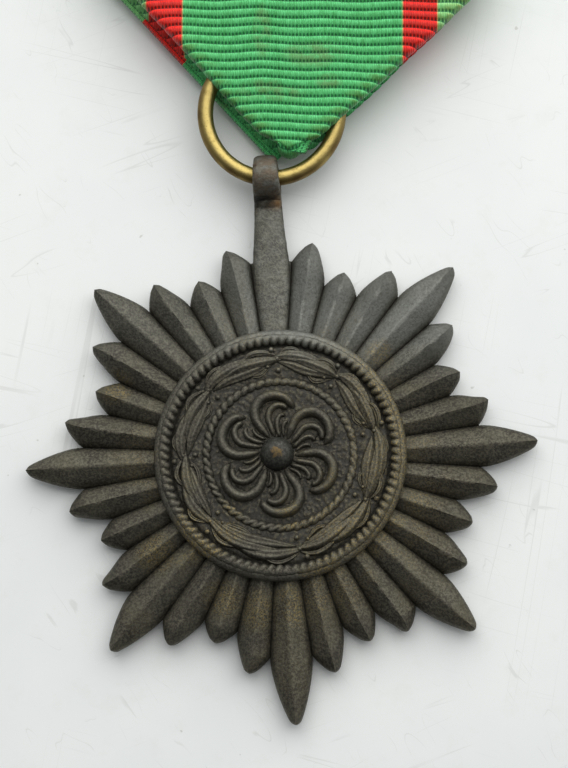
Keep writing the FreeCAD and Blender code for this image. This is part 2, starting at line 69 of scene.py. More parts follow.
def circle(count):
    """count angles that go once round."""
    return np.linspace(0, 2 * math.pi, count, endpoint=False)


def unit(values):
    """Holds values between 0 and 1."""
    return np.clip(values, 0, 1)


def ramp(values, low, high):
    """0 up to low, 1 from high on, and a straight rise in between."""
    return unit((values - low) / (high - low))


def surface(x, y, z):
    """A grid of points from its x, y and z, each a grid, a row, a column or one number."""
    return np.stack(np.broadcast_arrays(x, y, z), -1).astype(float)


def revolve(profile, count, x=0.0, y=0.0):
    """A profile of (radius, height) pairs turned round the upright line through x, y."""
    profile, turns = np.array(profile), circle(count)
    radius, height = profile[:, :1], profile[:, 1:]
    return surface(x + radius * np.cos(turns), y + radius * np.sin(turns), height)


def closed(rows):
    """Repeats the first row after the last, so that a tube meets its own start."""
    return np.concatenate([rows, rows[:1]])


def unit_steps(path):
    """The direction of a path at each of its points."""
    along = np.gradient(path, axis=0)
    return along / np.maximum(np.linalg.norm(along, axis=1, keepdims=True), 1e-9)


def as_piece(name, mesh, weld, sharp=None):
    """Welds a mesh's seams, turns its faces outwards, smooths it and adds it to the scene."""
    body = bmesh.new()
    body.from_mesh(mesh)
    bmesh.ops.remove_doubles(body, verts=body.verts, dist=weld)
    bmesh.ops.dissolve_degenerate(body, edges=body.edges, dist=weld / 10)
    bmesh.ops.recalc_face_normals(body, faces=body.faces)
    body.to_mesh(mesh)
    body.free()
    mesh.shade_smooth()
    if sharp:
        mesh.set_sharp_from_angle(angle=math.radians(sharp))
    piece = bpy.data.objects.new(name, mesh)
    bpy.context.scene.collection.objects.link(piece)
    return piece


class Shell:
    """Points, faces and named marks (one number per point), gathered from many grids."""

    def __init__(self, marks=()):
        self.points, self.faces, self.marks = [], [], {name: [] for name in marks}
        self.count = 0

    def grid(self, points, wrap=False, flip=False, caps=False, **marks):
        """Adds a rows x columns x 3 array of points as a sheet, or as a tube if wrap is set."""
        rows, columns = points.shape[:2]
        i, j = np.meshgrid(np.arange(rows - 1), np.arange(columns - (not wrap)), indexing="ij")
        low, high = i.ravel() * columns, (i.ravel() + 1) * columns
        here, following = j.ravel(), (j.ravel() + 1) % columns
        quads = np.stack([low + here, low + following, high + following, high + here], 1) + self.count
        self.faces += (quads[:, ::-1] if flip else quads).tolist()
        if caps:
            start = self.count + np.arange(columns)
            end = start + (rows - 1) * columns
            self.faces += [(end if flip else start)[::-1].tolist(), (start if flip else end).tolist()]
        self.points.append(points.reshape(-1, 3))
        for name in set(self.marks) | set(marks):
            values = np.broadcast_to(np.asarray(marks.get(name, 0.0), float), (rows, columns))
            self.marks.setdefault(name, [np.zeros(self.count)]).append(values.ravel())
        self.count += rows * columns

    def close_ends(self, outer, lining, marks):
        """Closes the first and last row between an outer grid and its lining, with one face each."""
        for row in (0, -1):
            loop = np.concatenate([outer[row], lining[row, 1:-1][::-1]])
            self.faces.append([*range(self.count, self.count + len(loop))])
            self.points.append(loop)
            for name in self.marks:
                self.marks[name].append(np.full(len(loop), float(np.mean(marks[name][row]))))
            self.count += len(loop)

    def piece(self, name, local, sharp=None):
        """Turns the gathered grids into one object, placed by its local frame."""
        points = np.concatenate(self.points)
        world = (points @ local[:3, :3].T + local[:3, 3]) * MM
        mesh = bpy.data.meshes.new(name)
        mesh.from_pydata(world.tolist(), [], self.faces)
        for mark, values in self.marks.items():
            layer = mesh.attributes.new(mark, "FLOAT", "POINT")
            layer.data.foreach_set("value", np.concatenate(values).astype(np.float32))
        return as_piece(name, mesh, 1e-7, sharp)


def grid_piece(name, local, points, sharp=None, **grid):
    """A piece that is one wrapped grid."""
    shell = Shell()
    shell.grid(points, wrap=True, **grid)
    return shell.piece(name, local, sharp)


def place(piece, body, nodes, finish):
    """Gives a finished piece its body, the CAD nodes that it stands for and its material."""
    piece.data.materials.append(finish)
    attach(piece, body)
    if nodes:
        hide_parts(*nodes)
    return piece


def rough(points, size, seed=0.0):
    """Smooth noise from -1 to 1 at each point, with features of about the given size."""
    shift = Vector((seed, seed * 1.7, seed * 0.3))
    flat = points.reshape(-1, 3) / size
    values = [noise.noise(Vector(p) + shift) for p in flat.tolist()]
    return np.array(values).reshape(points.shape[:-1])


def curve_through(controls, count):
    """count points along a smooth curve through the control points, evenly spaced by number."""
    controls = np.asarray(controls, float)
    padded = np.vstack([2 * controls[0] - controls[1], controls, 2 * controls[-1] - controls[-2]])
    place_on = np.linspace(0, len(controls) - 1 - 1e-9, count)
    i = place_on.astype(int)
    t = (place_on - i)[:, None]
    a, b, c, d = (padded[i + k] for k in range(4))
    return 0.5 * (
        2 * b + (c - a) * t + (2 * a - 5 * b + 4 * c - d) * t**2 + (3 * b - a - 3 * c + d) * t**3
    )


def moulding(path, half_width, height, sides=12, depth=0.25, power=1.0):
    """A closed ridge that follows a path over a face: round on top, sunk by depth below."""
    along = unit_steps(path[:, :2])
    side, up = np.cos(circle(sides)), np.sin(circle(sides))
    up = np.where(up > 0, np.abs(up) ** power, up)
    reach = half_width[:, None] * side
    lift = np.where(up > 0, height[:, None] * up, depth * up)
    points = path[:, None] + surface(along[:, 1:] * reach, -along[:, :1] * reach, lift)
    return points, unit(up) * (height / max(height.max(), 1e-9))[:, None]


def bent_strip(path, half_width, thickness, squareness, sides, middle=0.0, crown=0.0):
    """A strip along a path of (y, z) points; returns it with its section's places across."""
    along = unit_steps(path)
    cos, sin = np.cos(circle(sides)), np.sin(circle(sides))
    side = np.sign(cos) * np.abs(cos) ** squareness
    lift = np.sign(sin) * np.abs(sin) ** squareness
    reach = thickness / 2 * lift + crown * (1 - side**2) * np.sign(lift)
    y, z = path[:, :1] + along[:, 1:] * reach, path[:, 1:] - along[:, :1] * reach
    return surface(middle + half_width * side, y, z), side


def tube(path, radius, sides=12, taper=0.15):
    """A round closed tube along a path in space; its ends are rounded off."""
    path = np.asarray(path, float)
    along = unit_steps(path)
    spare = np.where(np.abs(along[:, :1]) < 0.9, [[1.0, 0, 0]], [[0, 1.0, 0]])
    first = np.cross(along, spare)
    first /= np.linalg.norm(first, axis=1, keepdims=True)
    second = np.cross(along, first)
    turn = circle(sides)[None, :, None]
    s = np.linspace(0, 1, len(path))
    size = radius * np.clip(np.minimum(s, 1 - s) / taper, 0.05, 1) ** 0.5
    ring = first[:, None] * np.cos(turn) + second[:, None] * np.sin(turn)
    return path[:, None] + ring * size[:, None, None]


# ---------------------------------------------------------------- materials


class Finish:
    """A procedural material: each method adds one node or a few and returns their output."""

    def __init__(self, name):
        self.material = bpy.data.materials.new(name)
        self.material.use_nodes = True
        self.tree = self.material.node_tree
        self.shader = self.tree.nodes["Principled BSDF"]
        where = self.tree.nodes.new("ShaderNodeTexCoord").outputs["Object"]
        self.mm = self.vector("MULTIPLY", where, (1 / MM,) * 3)

    def node(self, kind, values=(), **settings):
        made = self.tree.nodes.new(kind)
        for name, value in settings.items():
            setattr(made, name, value)
        for key, value in dict(values).items():
            self.put(made.inputs[key], value)
        return made

    def put(self, socket, value):
        if isinstance(value, bpy.types.NodeSocket):
            self.tree.links.new(value, socket)
        else:
            socket.default_value = value

    def vector(self, operation, a, b):
        return self.node("ShaderNodeVectorMath", {0: a, 1: b}, operation=operation).outputs[0]

    def math(self, operation, a, b=0.0, c=0.0, clamp=False):
        made = self.node("ShaderNodeMath", {0: a, 1: b, 2: c}, operation=operation, use_clamp=clamp)
        return made.outputs[0]

    def times(self, a, b, clamp=False):
        return self.math("MULTIPLY", a, b, clamp=clamp)

    def greatest(self, a, b, c, d):
        return self.math("MAXIMUM", self.math("MAXIMUM", a, b), self.math("MAXIMUM", c, d))

    def noise(self, scale, detail=3.0, roughness=0.6, stretch=None):
        """Noise whose features are about 1 / scale millimetres across."""
        where = self.vector("MULTIPLY", self.mm, stretch) if stretch else self.mm
        values = {"Vector": where, "Scale": scale, "Detail": detail, "Roughness": roughness}
        return self.node("ShaderNodeTexNoise", values).outputs["Fac"]

    def span(self, value, low, high, start=0.0, end=1.0):
        """Maps low..high to start..end, smoothly and clamped."""
        values = {"Value": value, "From Min": low, "From Max": high, "To Min": start, "To Max": end}
        return self.node("ShaderNodeMapRange", values, interpolation_type="SMOOTHSTEP").outputs[0]

    def patches(self, scale, detail, roughness, low, high, start=0.0, end=1.0):
        """Noise of which low..high is mapped to start..end."""
        return self.span(self.noise(scale, detail, roughness), low, high, start, end)

    def mix(self, share, a, b, blend="MIX"):
        made = self.node("ShaderNodeMix", data_type="RGBA", blend_type=blend)
        for key, value in ((0, share), (6, a), (7, b)):
            colour = isinstance(value, tuple) and len(value) == 3
            self.put(made.inputs[key], (*value, 1.0) if colour else value)
        return made.outputs[2]

    def tint(self, colour, by):
        return self.mix(1.0, colour, by, "MULTIPLY")

    def mark(self, name):
        return self.node("ShaderNodeAttribute", attribute_name=name).outputs["Fac"]

    def bump(self, height, distance, strength=1.0):
        values = {"Height": height, "Distance": distance * MM, "Strength": strength}
        return self.node("ShaderNodeBump", values).outputs[0]

    def finish(self, colour, roughness, normal, metallic=0.0, **constants):
        """Links or sets the shader's inputs; constants are set on its own sockets."""
        self.put(self.shader.inputs["Base Color"], colour)
        self.put(self.shader.inputs["Roughness"], roughness)
        self.put(self.shader.inputs["Metallic"], metallic)
        self.put(self.shader.inputs["Normal"], normal)
        for name, value in constants.items():
            self.shader.inputs[name.replace("_", " ")].default_value = value
        return self.material


# colours are linear red, green and blue; a pair is the two ends of a noisy mix
PATINA = ((0.038, 0.033, 0.027), (0.072, 0.067, 0.050))
PATINA_SPECK = (0.150, 0.138, 0.096)
RAISED_GREY = (0.128, 0.122, 0.098)
# pale grey by the loop: greyer patina with a painted reflection
PALE_REFLECTION_GREY = (0.205, 0.208, 0.190)
RUBBED_AND_HIGHLIT_BRASS = (0.33, 0.245, 0.090)
STRAP_BROWN = (0.125, 0.090, 0.058)
BARE_COPPER = (0.42, 0.23, 0.085)
HOLLOW_BLACK = (0.010, 0.009, 0.008)
BRONZE_DUST = (0.36, 0.36, 0.32)
# places rubbed to bare metal, as x, y and radius in millimetres
WORN_SPOTS = (
    (-4.4, -11.2, 2.0), (-1.7, -12.0, 2.2), (1.3, -12.2, 1.6),
    (7.7, 8.0, 1.5), (-13.0, 5.4, 1.8), (-9.6, -7.6, 2.2),
)
WORN_HEIGHT = 2.3


def patina_and_reflection(f, relief, speck, grey):
    """Olive-brown and specked, greyer on raised places, and palest by the loop and towards the east: greyer
    patina with a painted reflection there.
    """
    east, north, _ = f.node("ShaderNodeSeparateXYZ", {0: f.mm}).outputs
    patina = f.mix(f.patches(0.45, 4.0, 0.65, 0.35, 0.68), *PATINA)
    patina = f.mix(f.times(f.span(speck, 0.44, 0.60), 0.72), patina, PATINA_SPECK)
    raised = f.times(relief, f.span(speck, 0.40, 0.62, 0.35 * grey, grey))
    raised = f.mix(raised, patina, RAISED_GREY)
    # painted reflection: raised places by the loop turn pale grey, less so towards the west
    pale = f.times(f.span(north, 5.0, 11.0), f.times(relief, f.span(speck, 0.3, 0.6, 0.5, 0.95)))
    pale = f.times(pale, f.span(east, -9.0, 1.0, 0.25, 1.0))
    return f.mix(pale, raised, PALE_REFLECTION_GREY)


def rubbed_and_highlit_region(f, east_brass_highlight):
    """Where the metal is rubbed: patches, most of them low on the medal, and the worn spots; towards the
    east, brass stands for a painted highlight.
    """
    east, north, _ = f.node("ShaderNodeSeparateXYZ", {0: f.mm}).outputs
    radius = f.node("ShaderNodeVectorMath", {0: f.mm}, operation="LENGTH").outputs["Value"]
    region = f.patches(0.22, 2.0, 0.5, 0.48, 0.64)
    region = f.times(region, f.span(north, 4.0, -8.0, 0.30, 1.0))
    region = f.times(region, f.span(radius, 14.5, 10.5, 0.18, 1.0))
    # painted highlight: the medallion turns brassier towards the east
    region = f.math("MAXIMUM", region, f.times(f.span(east, 3.0, 8.0), east_brass_highlight))
    for x, y, reach in WORN_SPOTS:
        spot = {0: f.mm, 1: (x, y, WORN_HEIGHT)}
        away = f.node("ShaderNodeVectorMath", spot, operation="DISTANCE").outputs["Value"]
        region = f.math("MAXIMUM", region, f.span(away, reach, 0.3 * reach))
    return region


def bronze(name, grey, brass, dark, grain, east_brass_highlight=0.0):
    """Dark patinated bronze, black in the hollows and brassy where it is rubbed; the black also stands for
    painted shade on the strap, and towards the east the brass for a painted highlight.
    """
    f = Finish(name)
    relief = f.mark("relief")
    speck = f.noise(5.0, 3.0, 0.75)
    fleck = f.noise(11.0, 2.0, 0.6)
    colour = patina_and_reflection(f, relief, speck, grey)
    grains = f.times(f.patches(7.5, 3.0, 0.8, 0.47, 0.62), relief)
    rubbed = f.times(rubbed_and_highlit_region(f, east_brass_highlight), grains)
    # brass where the metal is rubbed, and towards the east as a painted highlight
    colour = f.mix(f.times(rubbed, brass, clamp=True), colour, RUBBED_AND_HIGHLIT_BRASS)
    colour = f.mix(f.times(f.mark("brown"), 0.75), colour, STRAP_BROWN)
    colour = f.mix(f.times(f.mark("copper"), 0.7), colour, BARE_COPPER)
    # black in the hollows: patina, and painted shade where the strap's marks lower the relief
    hollow = f.times(f.span(relief, 0.40, 0.0), dark)
    colour = f.mix(hollow, colour, HOLLOW_BLACK)
    colour = f.mix(f.times(f.span(fleck, 0.70, 0.80), 0.4), colour, BRONZE_DUST)
    fine = f.math("ADD", f.times(speck, 0.7), f.times(fleck, 0.3))
    normal = f.bump(fine, grain * 2.2, 0.9)
    roughness = f.patches(2.0, 3.0, 0.6, 0.3, 0.7, 0.54, 0.68)
    return f.finish(colour, roughness, normal, f.span(hollow, 0.1, 0.9, 0.88, 0.3))


def boss_bronze():
    """Olive-grey bronze, rubbed to dull brass on top of the dome."""
    f = Finish("boss_bronze")
    relief = f.mark("relief")
    speck = f.noise(4.0, 3.0, 0.7)
    patina = f.mix(f.span(speck, 0.35, 0.7), (0.042, 0.041, 0.036), (0.098, 0.095, 0.084))
    uneven = f.times(f.math("SUBTRACT", speck, 0.5), 0.35)
    top = f.span(f.math("ADD", relief, uneven), 0.93, 1.02)
    colour = f.mix(top, patina, (0.135, 0.094, 0.044))
    colour = f.mix(f.span(relief, 0.12, 0.0), colour, (0.02, 0.02, 0.017))
    return f.finish(colour, 0.60, f.bump(speck, 0.02, 0.7), 0.9)


WIRE_BRASS = ((0.46, 0.355, 0.125), (0.28, 0.205, 0.058))
WIRE_PIT = (0.13, 0.085, 0.035)
# colour of the painted shade on the wire's outer side and underside
WIRE_SHADE_BROWN = (0.10, 0.056, 0.018)


def brass_wire():
    """Stained and pitted brass, with painted shade where the wire's shade mark is set."""
    f = Finish("brass_with_painted_shade")
    tarnish = f.mark("tarnish")
    pits = f.patches(6.0, 3.0, 0.7, 0.58, 0.70)
    colour = f.mix(f.times(f.patches(1.1, 5.0, 0.7, 0.50, 0.68), 0.65), *WIRE_BRASS)
    colour = f.mix(f.times(pits, 0.65), colour, WIRE_PIT)
    # painted shade: darkens the wire's outer side and underside
    colour = f.mix(f.times(tarnish, 0.92), colour, WIRE_SHADE_BROWN)
    roughness = f.math("ADD", f.span(tarnish, 0.0, 1.0, 0.40, 0.50), f.times(pits, 0.12))
    scratch = f.noise(3.0, 4.0, 0.6, stretch=(1.0, 1.0, 6.0))
    return f.finish(colour, roughness, f.bump(scratch, 0.03, 0.6), 1.0)


def steel(name):
    """Brushed nickel plate, dulled in patches and rusty in spots."""
    f = Finish(name)
    brushed = f.noise(1.5, 4.0, 0.6, stretch=(0.4, 8.0, 8.0))
    dull = f.patches(0.5, 4.0, 0.7, 0.42, 0.7)
    colour = f.mix(dull, (0.56, 0.55, 0.52), (0.33, 0.31, 0.27))
    rust = f.times(f.patches(2.2, 5.0, 0.75, 0.63, 0.75), 0.6)
    colour = f.mix(rust, colour, (0.17, 0.085, 0.035))
    return f.finish(colour, f.span(brushed, 0.3, 0.7, 0.24, 0.46), f.bump(brushed, 0.01, 0.6), 0.95)


def thread(name, clean, dirty):
    f = Finish(name)
    twist = f.noise(4.0, 3.0, 0.6, stretch=(3.0, 1.0, 3.0))
    colour = f.mix(f.span(twist, 0.35, 0.7), clean, dirty)
    return f.finish(colour, 0.75, f.bump(twist, 0.05, 0.8), Sheen_Weight=0.3)


# where the ribbon's colours change, in millimetres across it, and how soft a change is
FIELD_LEFT, FIELD_RIGHT = -7.03, 10.36
STRIPE_LEFT, STRIPE_RIGHT = -9.96, 13.11
STRIPE_BLUR, JOIN_HALF = 0.04, 0.06
WARP_PITCH = 0.28
FIELD_GREEN = ((0.050, 0.365, 0.090), (0.108, 0.585, 0.190))
EDGE_GREEN = ((0.135, 0.445, 0.130), (0.255, 0.680, 0.235))
STRIPE_RED = ((0.56, 0.012, 0.007), (0.84, 0.028, 0.015))
JOIN_YELLOW = (0.50, 0.52, 0.18)
SOIL_BROWN = (0.15, 0.21, 0.07)
# what the ribbon's colour is multiplied by
WARP_SHADE, WARP_GLINT = (0.55, 0.66, 0.62), (2.1, 1.5, 1.9)
HANDLED_OLIVE, GAP_SHADE_TINT = (0.98, 0.52, 0.34), (0.16, 0.30, 0.36)
# soiled places on the ribbon: x, y, half width and half height
SOILED_SPOTS = (
    (-0.7, 11.3, 0.8, 2.4), (3.3, 9.6, 2.6, 1.2), (0.2, 6.6, 3.0, 1.0), (4.6, 7.4, 1.2, 0.7),
)


def woven_stripes(f, across, grain):
    """Green field, red stripes and green edges, with a yellowish line at each join."""
    shade = f.span(grain, 0.3, 0.7)
    field, edge, red = (f.mix(shade, *pair) for pair in (FIELD_GREEN, EDGE_GREEN, STRIPE_RED))

    def inside(low, high):
        rises = f.span(across, low - STRIPE_BLUR, low + STRIPE_BLUR)
        falls = f.span(across, high - STRIPE_BLUR, high + STRIPE_BLUR, 1.0, 0.0)
        return f.times(rises, falls)

    colour = f.mix(inside(STRIPE_LEFT, STRIPE_RIGHT), edge, red)
    colour = f.mix(inside(FIELD_LEFT, FIELD_RIGHT), colour, field)
    joins = (STRIPE_LEFT, FIELD_LEFT, FIELD_RIGHT, STRIPE_RIGHT)
    line = f.greatest(*(inside(join - JOIN_HALF, join + JOIN_HALF) for join in joins))
    return f.mix(f.times(line, 0.45), colour, JOIN_YELLOW)


def soiled(f, colour, across):
    """Brownish spots on the ribbon's face."""
    up = f.mark("up")
    for x, y, wide, tall in SOILED_SPOTS:
        dx = f.math("DIVIDE", f.math("SUBTRACT", across, x), wide)
        dy = f.math("DIVIDE", f.math("SUBTRACT", up, y), tall)
        far = f.math("ADD", f.times(dx, dx), f.times(dy, dy))
        spot = f.times(f.span(far, 1.2, 0.1), f.patches(1.0, 4.0, 0.7, 0.35, 0.62))
        colour = f.mix(f.times(spot, 0.5), colour, SOIL_BROWN)
    return colour


def grosgrain():
    """Ribbed silk: the warp covers thick cords, each with a painted highlight on its upper part, and painted
    shade in toothed gaps between two cords.
    """
    f = Finish("grosgrain")
    across, phase = f.mark("across"), f.math("FRACT", f.mark("cord"))
    grain = f.noise(2.6, 4.0, 0.7, stretch=(2.4, 0.6, 1.0))
    colour = woven_stripes(f, across, grain)
    strand = f.times(f.mark("weft"), 2 * math.pi / WARP_PITCH)
    wave = f.math("MULTIPLY_ADD", f.math("SINE", strand), 0.5, 0.5)
    fine = f.math("MULTIPLY_ADD", f.math("SINE", f.times(strand, 2.0)), 0.5, 0.5)
    colour = f.mix(f.times(fine, 0.50), colour, f.tint(colour, WARP_SHADE))
    glint = f.times(f.span(phase, 0.50, 0.90), f.math("MULTIPLY_ADD", fine, -0.6, 0.75))
    colour = f.mix(glint, colour, f.tint(colour, WARP_GLINT))
    off_crest = f.math("ABSOLUTE", f.math("SUBTRACT", phase, 0.5))
    handled = f.times(f.span(f.mark("border"), 2.0, 0.3), f.patches(0.9, 3.0, 0.6, 0.30, 0.62))
    handled = f.times(f.times(handled, f.span(off_crest, 0.45, 0.25)), 0.9)
    colour = soiled(f, f.mix(handled, colour, f.tint(colour, HANDLED_OLIVE)), across)
    # painted shade in the toothed gaps between cords and at the foot of each cord
    gap_shade = f.math("MULTIPLY_ADD", f.math("POWER", wave, 1.4), 0.34, 0.05)
    gap_shade = f.span(f.math("SUBTRACT", gap_shade, phase), 0.0, 0.09)
    gap_shade = f.math("MAXIMUM", gap_shade, f.span(phase, 0.95, 0.99))
    colour = f.mix(f.times(gap_shade, 0.9), colour, f.tint(colour, GAP_SHADE_TINT))
    strands = f.times(fine, f.span(off_crest, 0.5, 0.2))
    normal = f.bump(f.math("ADD", strands, f.times(grain, 0.6)), 0.04, 0.9)
    gloss = {"Sheen_Weight": 0.06, "Sheen_Roughness": 0.4, "Specular_IOR_Level": 0.35}
    return f.finish(colour, 0.46, normal, **gloss)


def buckram():
    """Coarse stiff linen."""
    f = Finish("buckram")
    weave_x = f.noise(3.0, 2.0, 0.5, stretch=(4.0, 0.3, 1.0))
    weave_y = f.noise(3.0, 2.0, 0.5, stretch=(0.3, 4.0, 1.0))
    weave = f.times(f.math("ADD", weave_x, weave_y), 0.5)
    colour = f.mix(f.span(weave, 0.35, 0.65), (0.42, 0.38, 0.29), (0.74, 0.70, 0.59))
    return f.finish(colour, 0.85, f.bump(weave, 0.08, 1.0))


# the board's hair scratches: the turn of each family and how little it bends
SCRATCHES = ((0.25, 0.03), (1.75, 0.02), (-0.35, 0.05), (0.95, 0.25))


def hair_scratch(f, angle, bend):
    """Thin lines that wander along one direction, broken off in places."""
    turned = f.node("ShaderNodeVectorRotate", {"Vector": f.mm, "Angle": angle}).outputs[0]
    long = f.vector("MULTIPLY", turned, (bend, 1.0, 1.0))
    wander = f.node("ShaderNodeTexNoise", {"Vector": long, "Scale": 0.5, "Detail": 1.0}).outputs["Fac"]
    line = f.math("ABSOLUTE", f.math("SUBTRACT", wander, 0.5))
    return f.times(f.span(line, 0.005, 0.0), f.patches(0.05 + bend, 2.0, 0.5, 0.52, 0.62))


def table_top():
    """A white, slightly glossy board with faint smears, dust and hair scratches."""
    f = Finish("white_board")
    smear = f.patches(0.035, 4.0, 0.6, 0.35, 0.7)
    colour = f.mix(smear, (0.79, 0.805, 0.795), (0.84, 0.85, 0.835))
    colour = f.mix(f.times(f.patches(0.35, 4.0, 0.7, 0.52, 0.72), 0.16), colour, (0.70, 0.70, 0.66))
    hair = f.greatest(*(hair_scratch(f, angle, bend) for angle, bend in SCRATCHES))
    colour = f.mix(f.times(hair, 0.24), colour, (0.45, 0.44, 0.42))
    colour = f.mix(f.times(f.patches(1.1, 2.0, 0.5, 0.74, 0.78), 0.45), colour, (0.40, 0.38, 0.34))
    roughness = f.patches(0.12, 3.0, 0.6, 0.3, 0.7, 0.30, 0.45)
    return f.finish(colour, roughness, f.bump(hair, -0.01, 0.3), Specular_IOR_Level=0.35)


# ---------------------------------------------------------------- the star

RAYS = 32
STEP = 2 * math.pi / RAYS
HUB_FRONT, HUB_BACK, HUB_TOP, HUB_FOOT = 9.4, 9.9, 2.54, 0.06
SHORT_VALLEY, MAIN_VALLEY = 14.0, 15.6
TIPS = {"main": 20.0, "medium": 17.0, "short": 15.6}
STRAP_RAY_TIP = 15.9
# how much longer each ray is than its kind, and how far its tip leans counter-clockwise
TIP_CHANGES = {
    1: (0.10, 0.00), 2: (-0.25, 0.15), 4: (0.10, -0.10), 5: (-0.10, 0.20), 6: (-0.15, -0.10),
    7: (-0.25, 0.25), 8: (0.00, 0.10), 10: (0.15, 0.05), 11: (-0.30, 0.10), 12: (0.15, 0.05),
    13: (-0.25, -0.20), 14: (0.30, 0.10), 15: (0.25, 0.00), 16: (0.80, 0.10), 18: (-0.25, 0.00),
    20: (0.00, 0.30), 21: (0.10, -0.25), 22: (-0.15, -0.10), 23: (0.05, 0.10), 25: (0.15, -0.25),
    26: (-0.15, 0.00), 27: (0.20, 0.10), 28: (-0.15, 0.00), 29: (-0.05, -0.10), 30: (-0.25, -0.10),
    31: (-0.10, 0.20),
}
# half of the angle that a ray takes up next to a neighbour, in degrees
SHARES = {
    ("main", "medium"): 6.0, ("medium", "main"): 5.25,
    ("medium", "short"): 5.7, ("short", "medium"): 5.55,
}
NOSE = 0.32
EDGE_BACK, BELLY = 0.86, 0.48
WALL_ROWS = 6
BACK_SPOTS = np.linspace(-1, 1, 9)
FRONT_SPOTS = np.linspace(-1, 1, 19)
# more points towards a ray's two edges
FRONT_SPOTS = 0.5 * FRONT_SPOTS + 0.5 * np.sin(FRONT_SPOTS * math.pi / 2)


def kind_of(ray):
    return ("main", "medium", "short", "medium")[ray % 4]


def valley_between(kind, neighbour):
    return SHORT_VALLEY if "short" in (kind, neighbour) else MAIN_VALLEY


def edge_front(radius, valley):
    """Height of the groove between two rays, and past it of the free edge."""
    sinking, past = ramp(radius, HUB_FRONT, valley), ramp(radius, valley, valley + 0.9)
    return 1.80 - 0.72 * sinking**1.6 + 0.26 * past


def ray_outline(radii, kind, neighbour, tip):
    """One side of a ray at each radius: places along and across it, and the valley's radius."""
    valley = valley_between(kind, neighbour)
    share = math.radians(SHARES[kind, neighbour])
    start, reach = valley * math.cos(share), valley * math.sin(share)
    slender = (tip - start) / reach
    free = ramp(radii, valley, tip)
    along = np.where(radii <= valley, radii * math.cos(share), start + (tip - start) * free)
    blunt = 0.9 * NOSE
    tapered = blunt + (reach - blunt) * (1 - free ** (0.86 + 0.25 * slender)) ** 0.95
    left = np.clip(tip - along, 0, NOSE)
    rounded = np.sqrt(np.clip(1 - (1 - left / NOSE) ** 2, 0, None))
    half = np.where(radii <= valley, radii * math.sin(share), tapered * rounded)
    return along, half, valley


class Ray:
    """The sizes of one ray. Rays are counted clockwise from the strap's."""

    def __init__(self, number):
        self.kind = kind_of(number)
        # the next ray lies on the side where across is negative
        self.neighbours = (kind_of(number + 1), kind_of(number - 1))
        self.strap = number == 0
        longer, self.lean = TIP_CHANGES.get(number, (0.0, 0.0))
        self.tip = STRAP_RAY_TIP if self.strap else TIPS[self.kind] + longer
        self.valley = max(valley_between(self.kind, other) for other in self.neighbours)
        shared = np.linspace(HUB_FRONT, SHORT_VALLEY, 19)
        if self.valley > SHORT_VALLEY:
            shared = np.concatenate([shared, np.linspace(SHORT_VALLEY, MAIN_VALLEY, 8)[1:]])
        ease = 1 - (1 - np.linspace(0, 1, 23)[1:]) ** 2.2
        self.radii = np.concatenate([shared, self.valley + (self.tip - self.valley) * ease])
        self.tapered = ramp(self.radii, self.valley, self.tip)
        self.grown = ramp(self.radii, HUB_FRONT, self.valley)
        self.sides = self.outlines(self.radii)
        cos, sin = math.cos(math.pi / 2 - number * STEP), math.sin(math.pi / 2 - number * STEP)
        self.turn = np.array([[cos, sin], [-sin, cos]])

    def outlines(self, radii):
        return [ray_outline(radii, self.kind, other, self.tip) for other in self.neighbours]

    def face(self, radii, sides, spots, height_at):
        """A grid in the star frame: rows along the ray, columns from edge to edge."""
        points = np.zeros((len(radii), len(spots), 3))
        for j, spot in enumerate(spots):
            along, half, _ = sides[int(spot >= 0)]
            points[:, j, 0] = radii + (along - radii) * abs(spot)
            points[:, j, 1] = half * spot
            points[:, j, 2] = height_at(spot)
        return self.to_star(points)

    def to_star(self, points):
        """Leans the free tip over, and turns local (along, across) points to the ray's place."""
        turned = points.copy()
        turned[..., 1] += self.lean * ramp(points[..., 0], self.valley, self.tip) ** 1.5
        turned[..., :2] = turned[..., :2] @ self.turn
        return turned

    def front_height(self, spot):
        ridge = 2.5 - 0.04 * self.grown - 0.50 * self.tapered**1.6
        if self.strap:
            ridge = 1.95 - 0.25 * self.grown
        steep = 0.20 + 0.16 * self.grown**3
        edge = edge_front(self.radii, self.sides[int(spot >= 0)][2])
        fall = (1 - steep) * abs(spot) ** 1.06 + steep * abs(spot) ** 10
        return edge + (ridge - edge) * (1 - fall)

    def back_height(self, spot):
        """The hollowed back, whose belly meets the edge at the tip."""
        belly = 0.5 - 0.02 * self.grown + (EDGE_BACK - BELLY) * self.tapered
        return EDGE_BACK + (belly - EDGE_BACK) * (1 - abs(spot) ** 1.2)


def add_hub(shell, rim, face, flip, relief):
    """A ray's face together with its slice of the hub, from the centre out to the rim."""
    shell.grid(np.concatenate([rim * (0, 0, 1), rim * (0.5, 0.5, 1), face]), flip=flip, relief=relief)


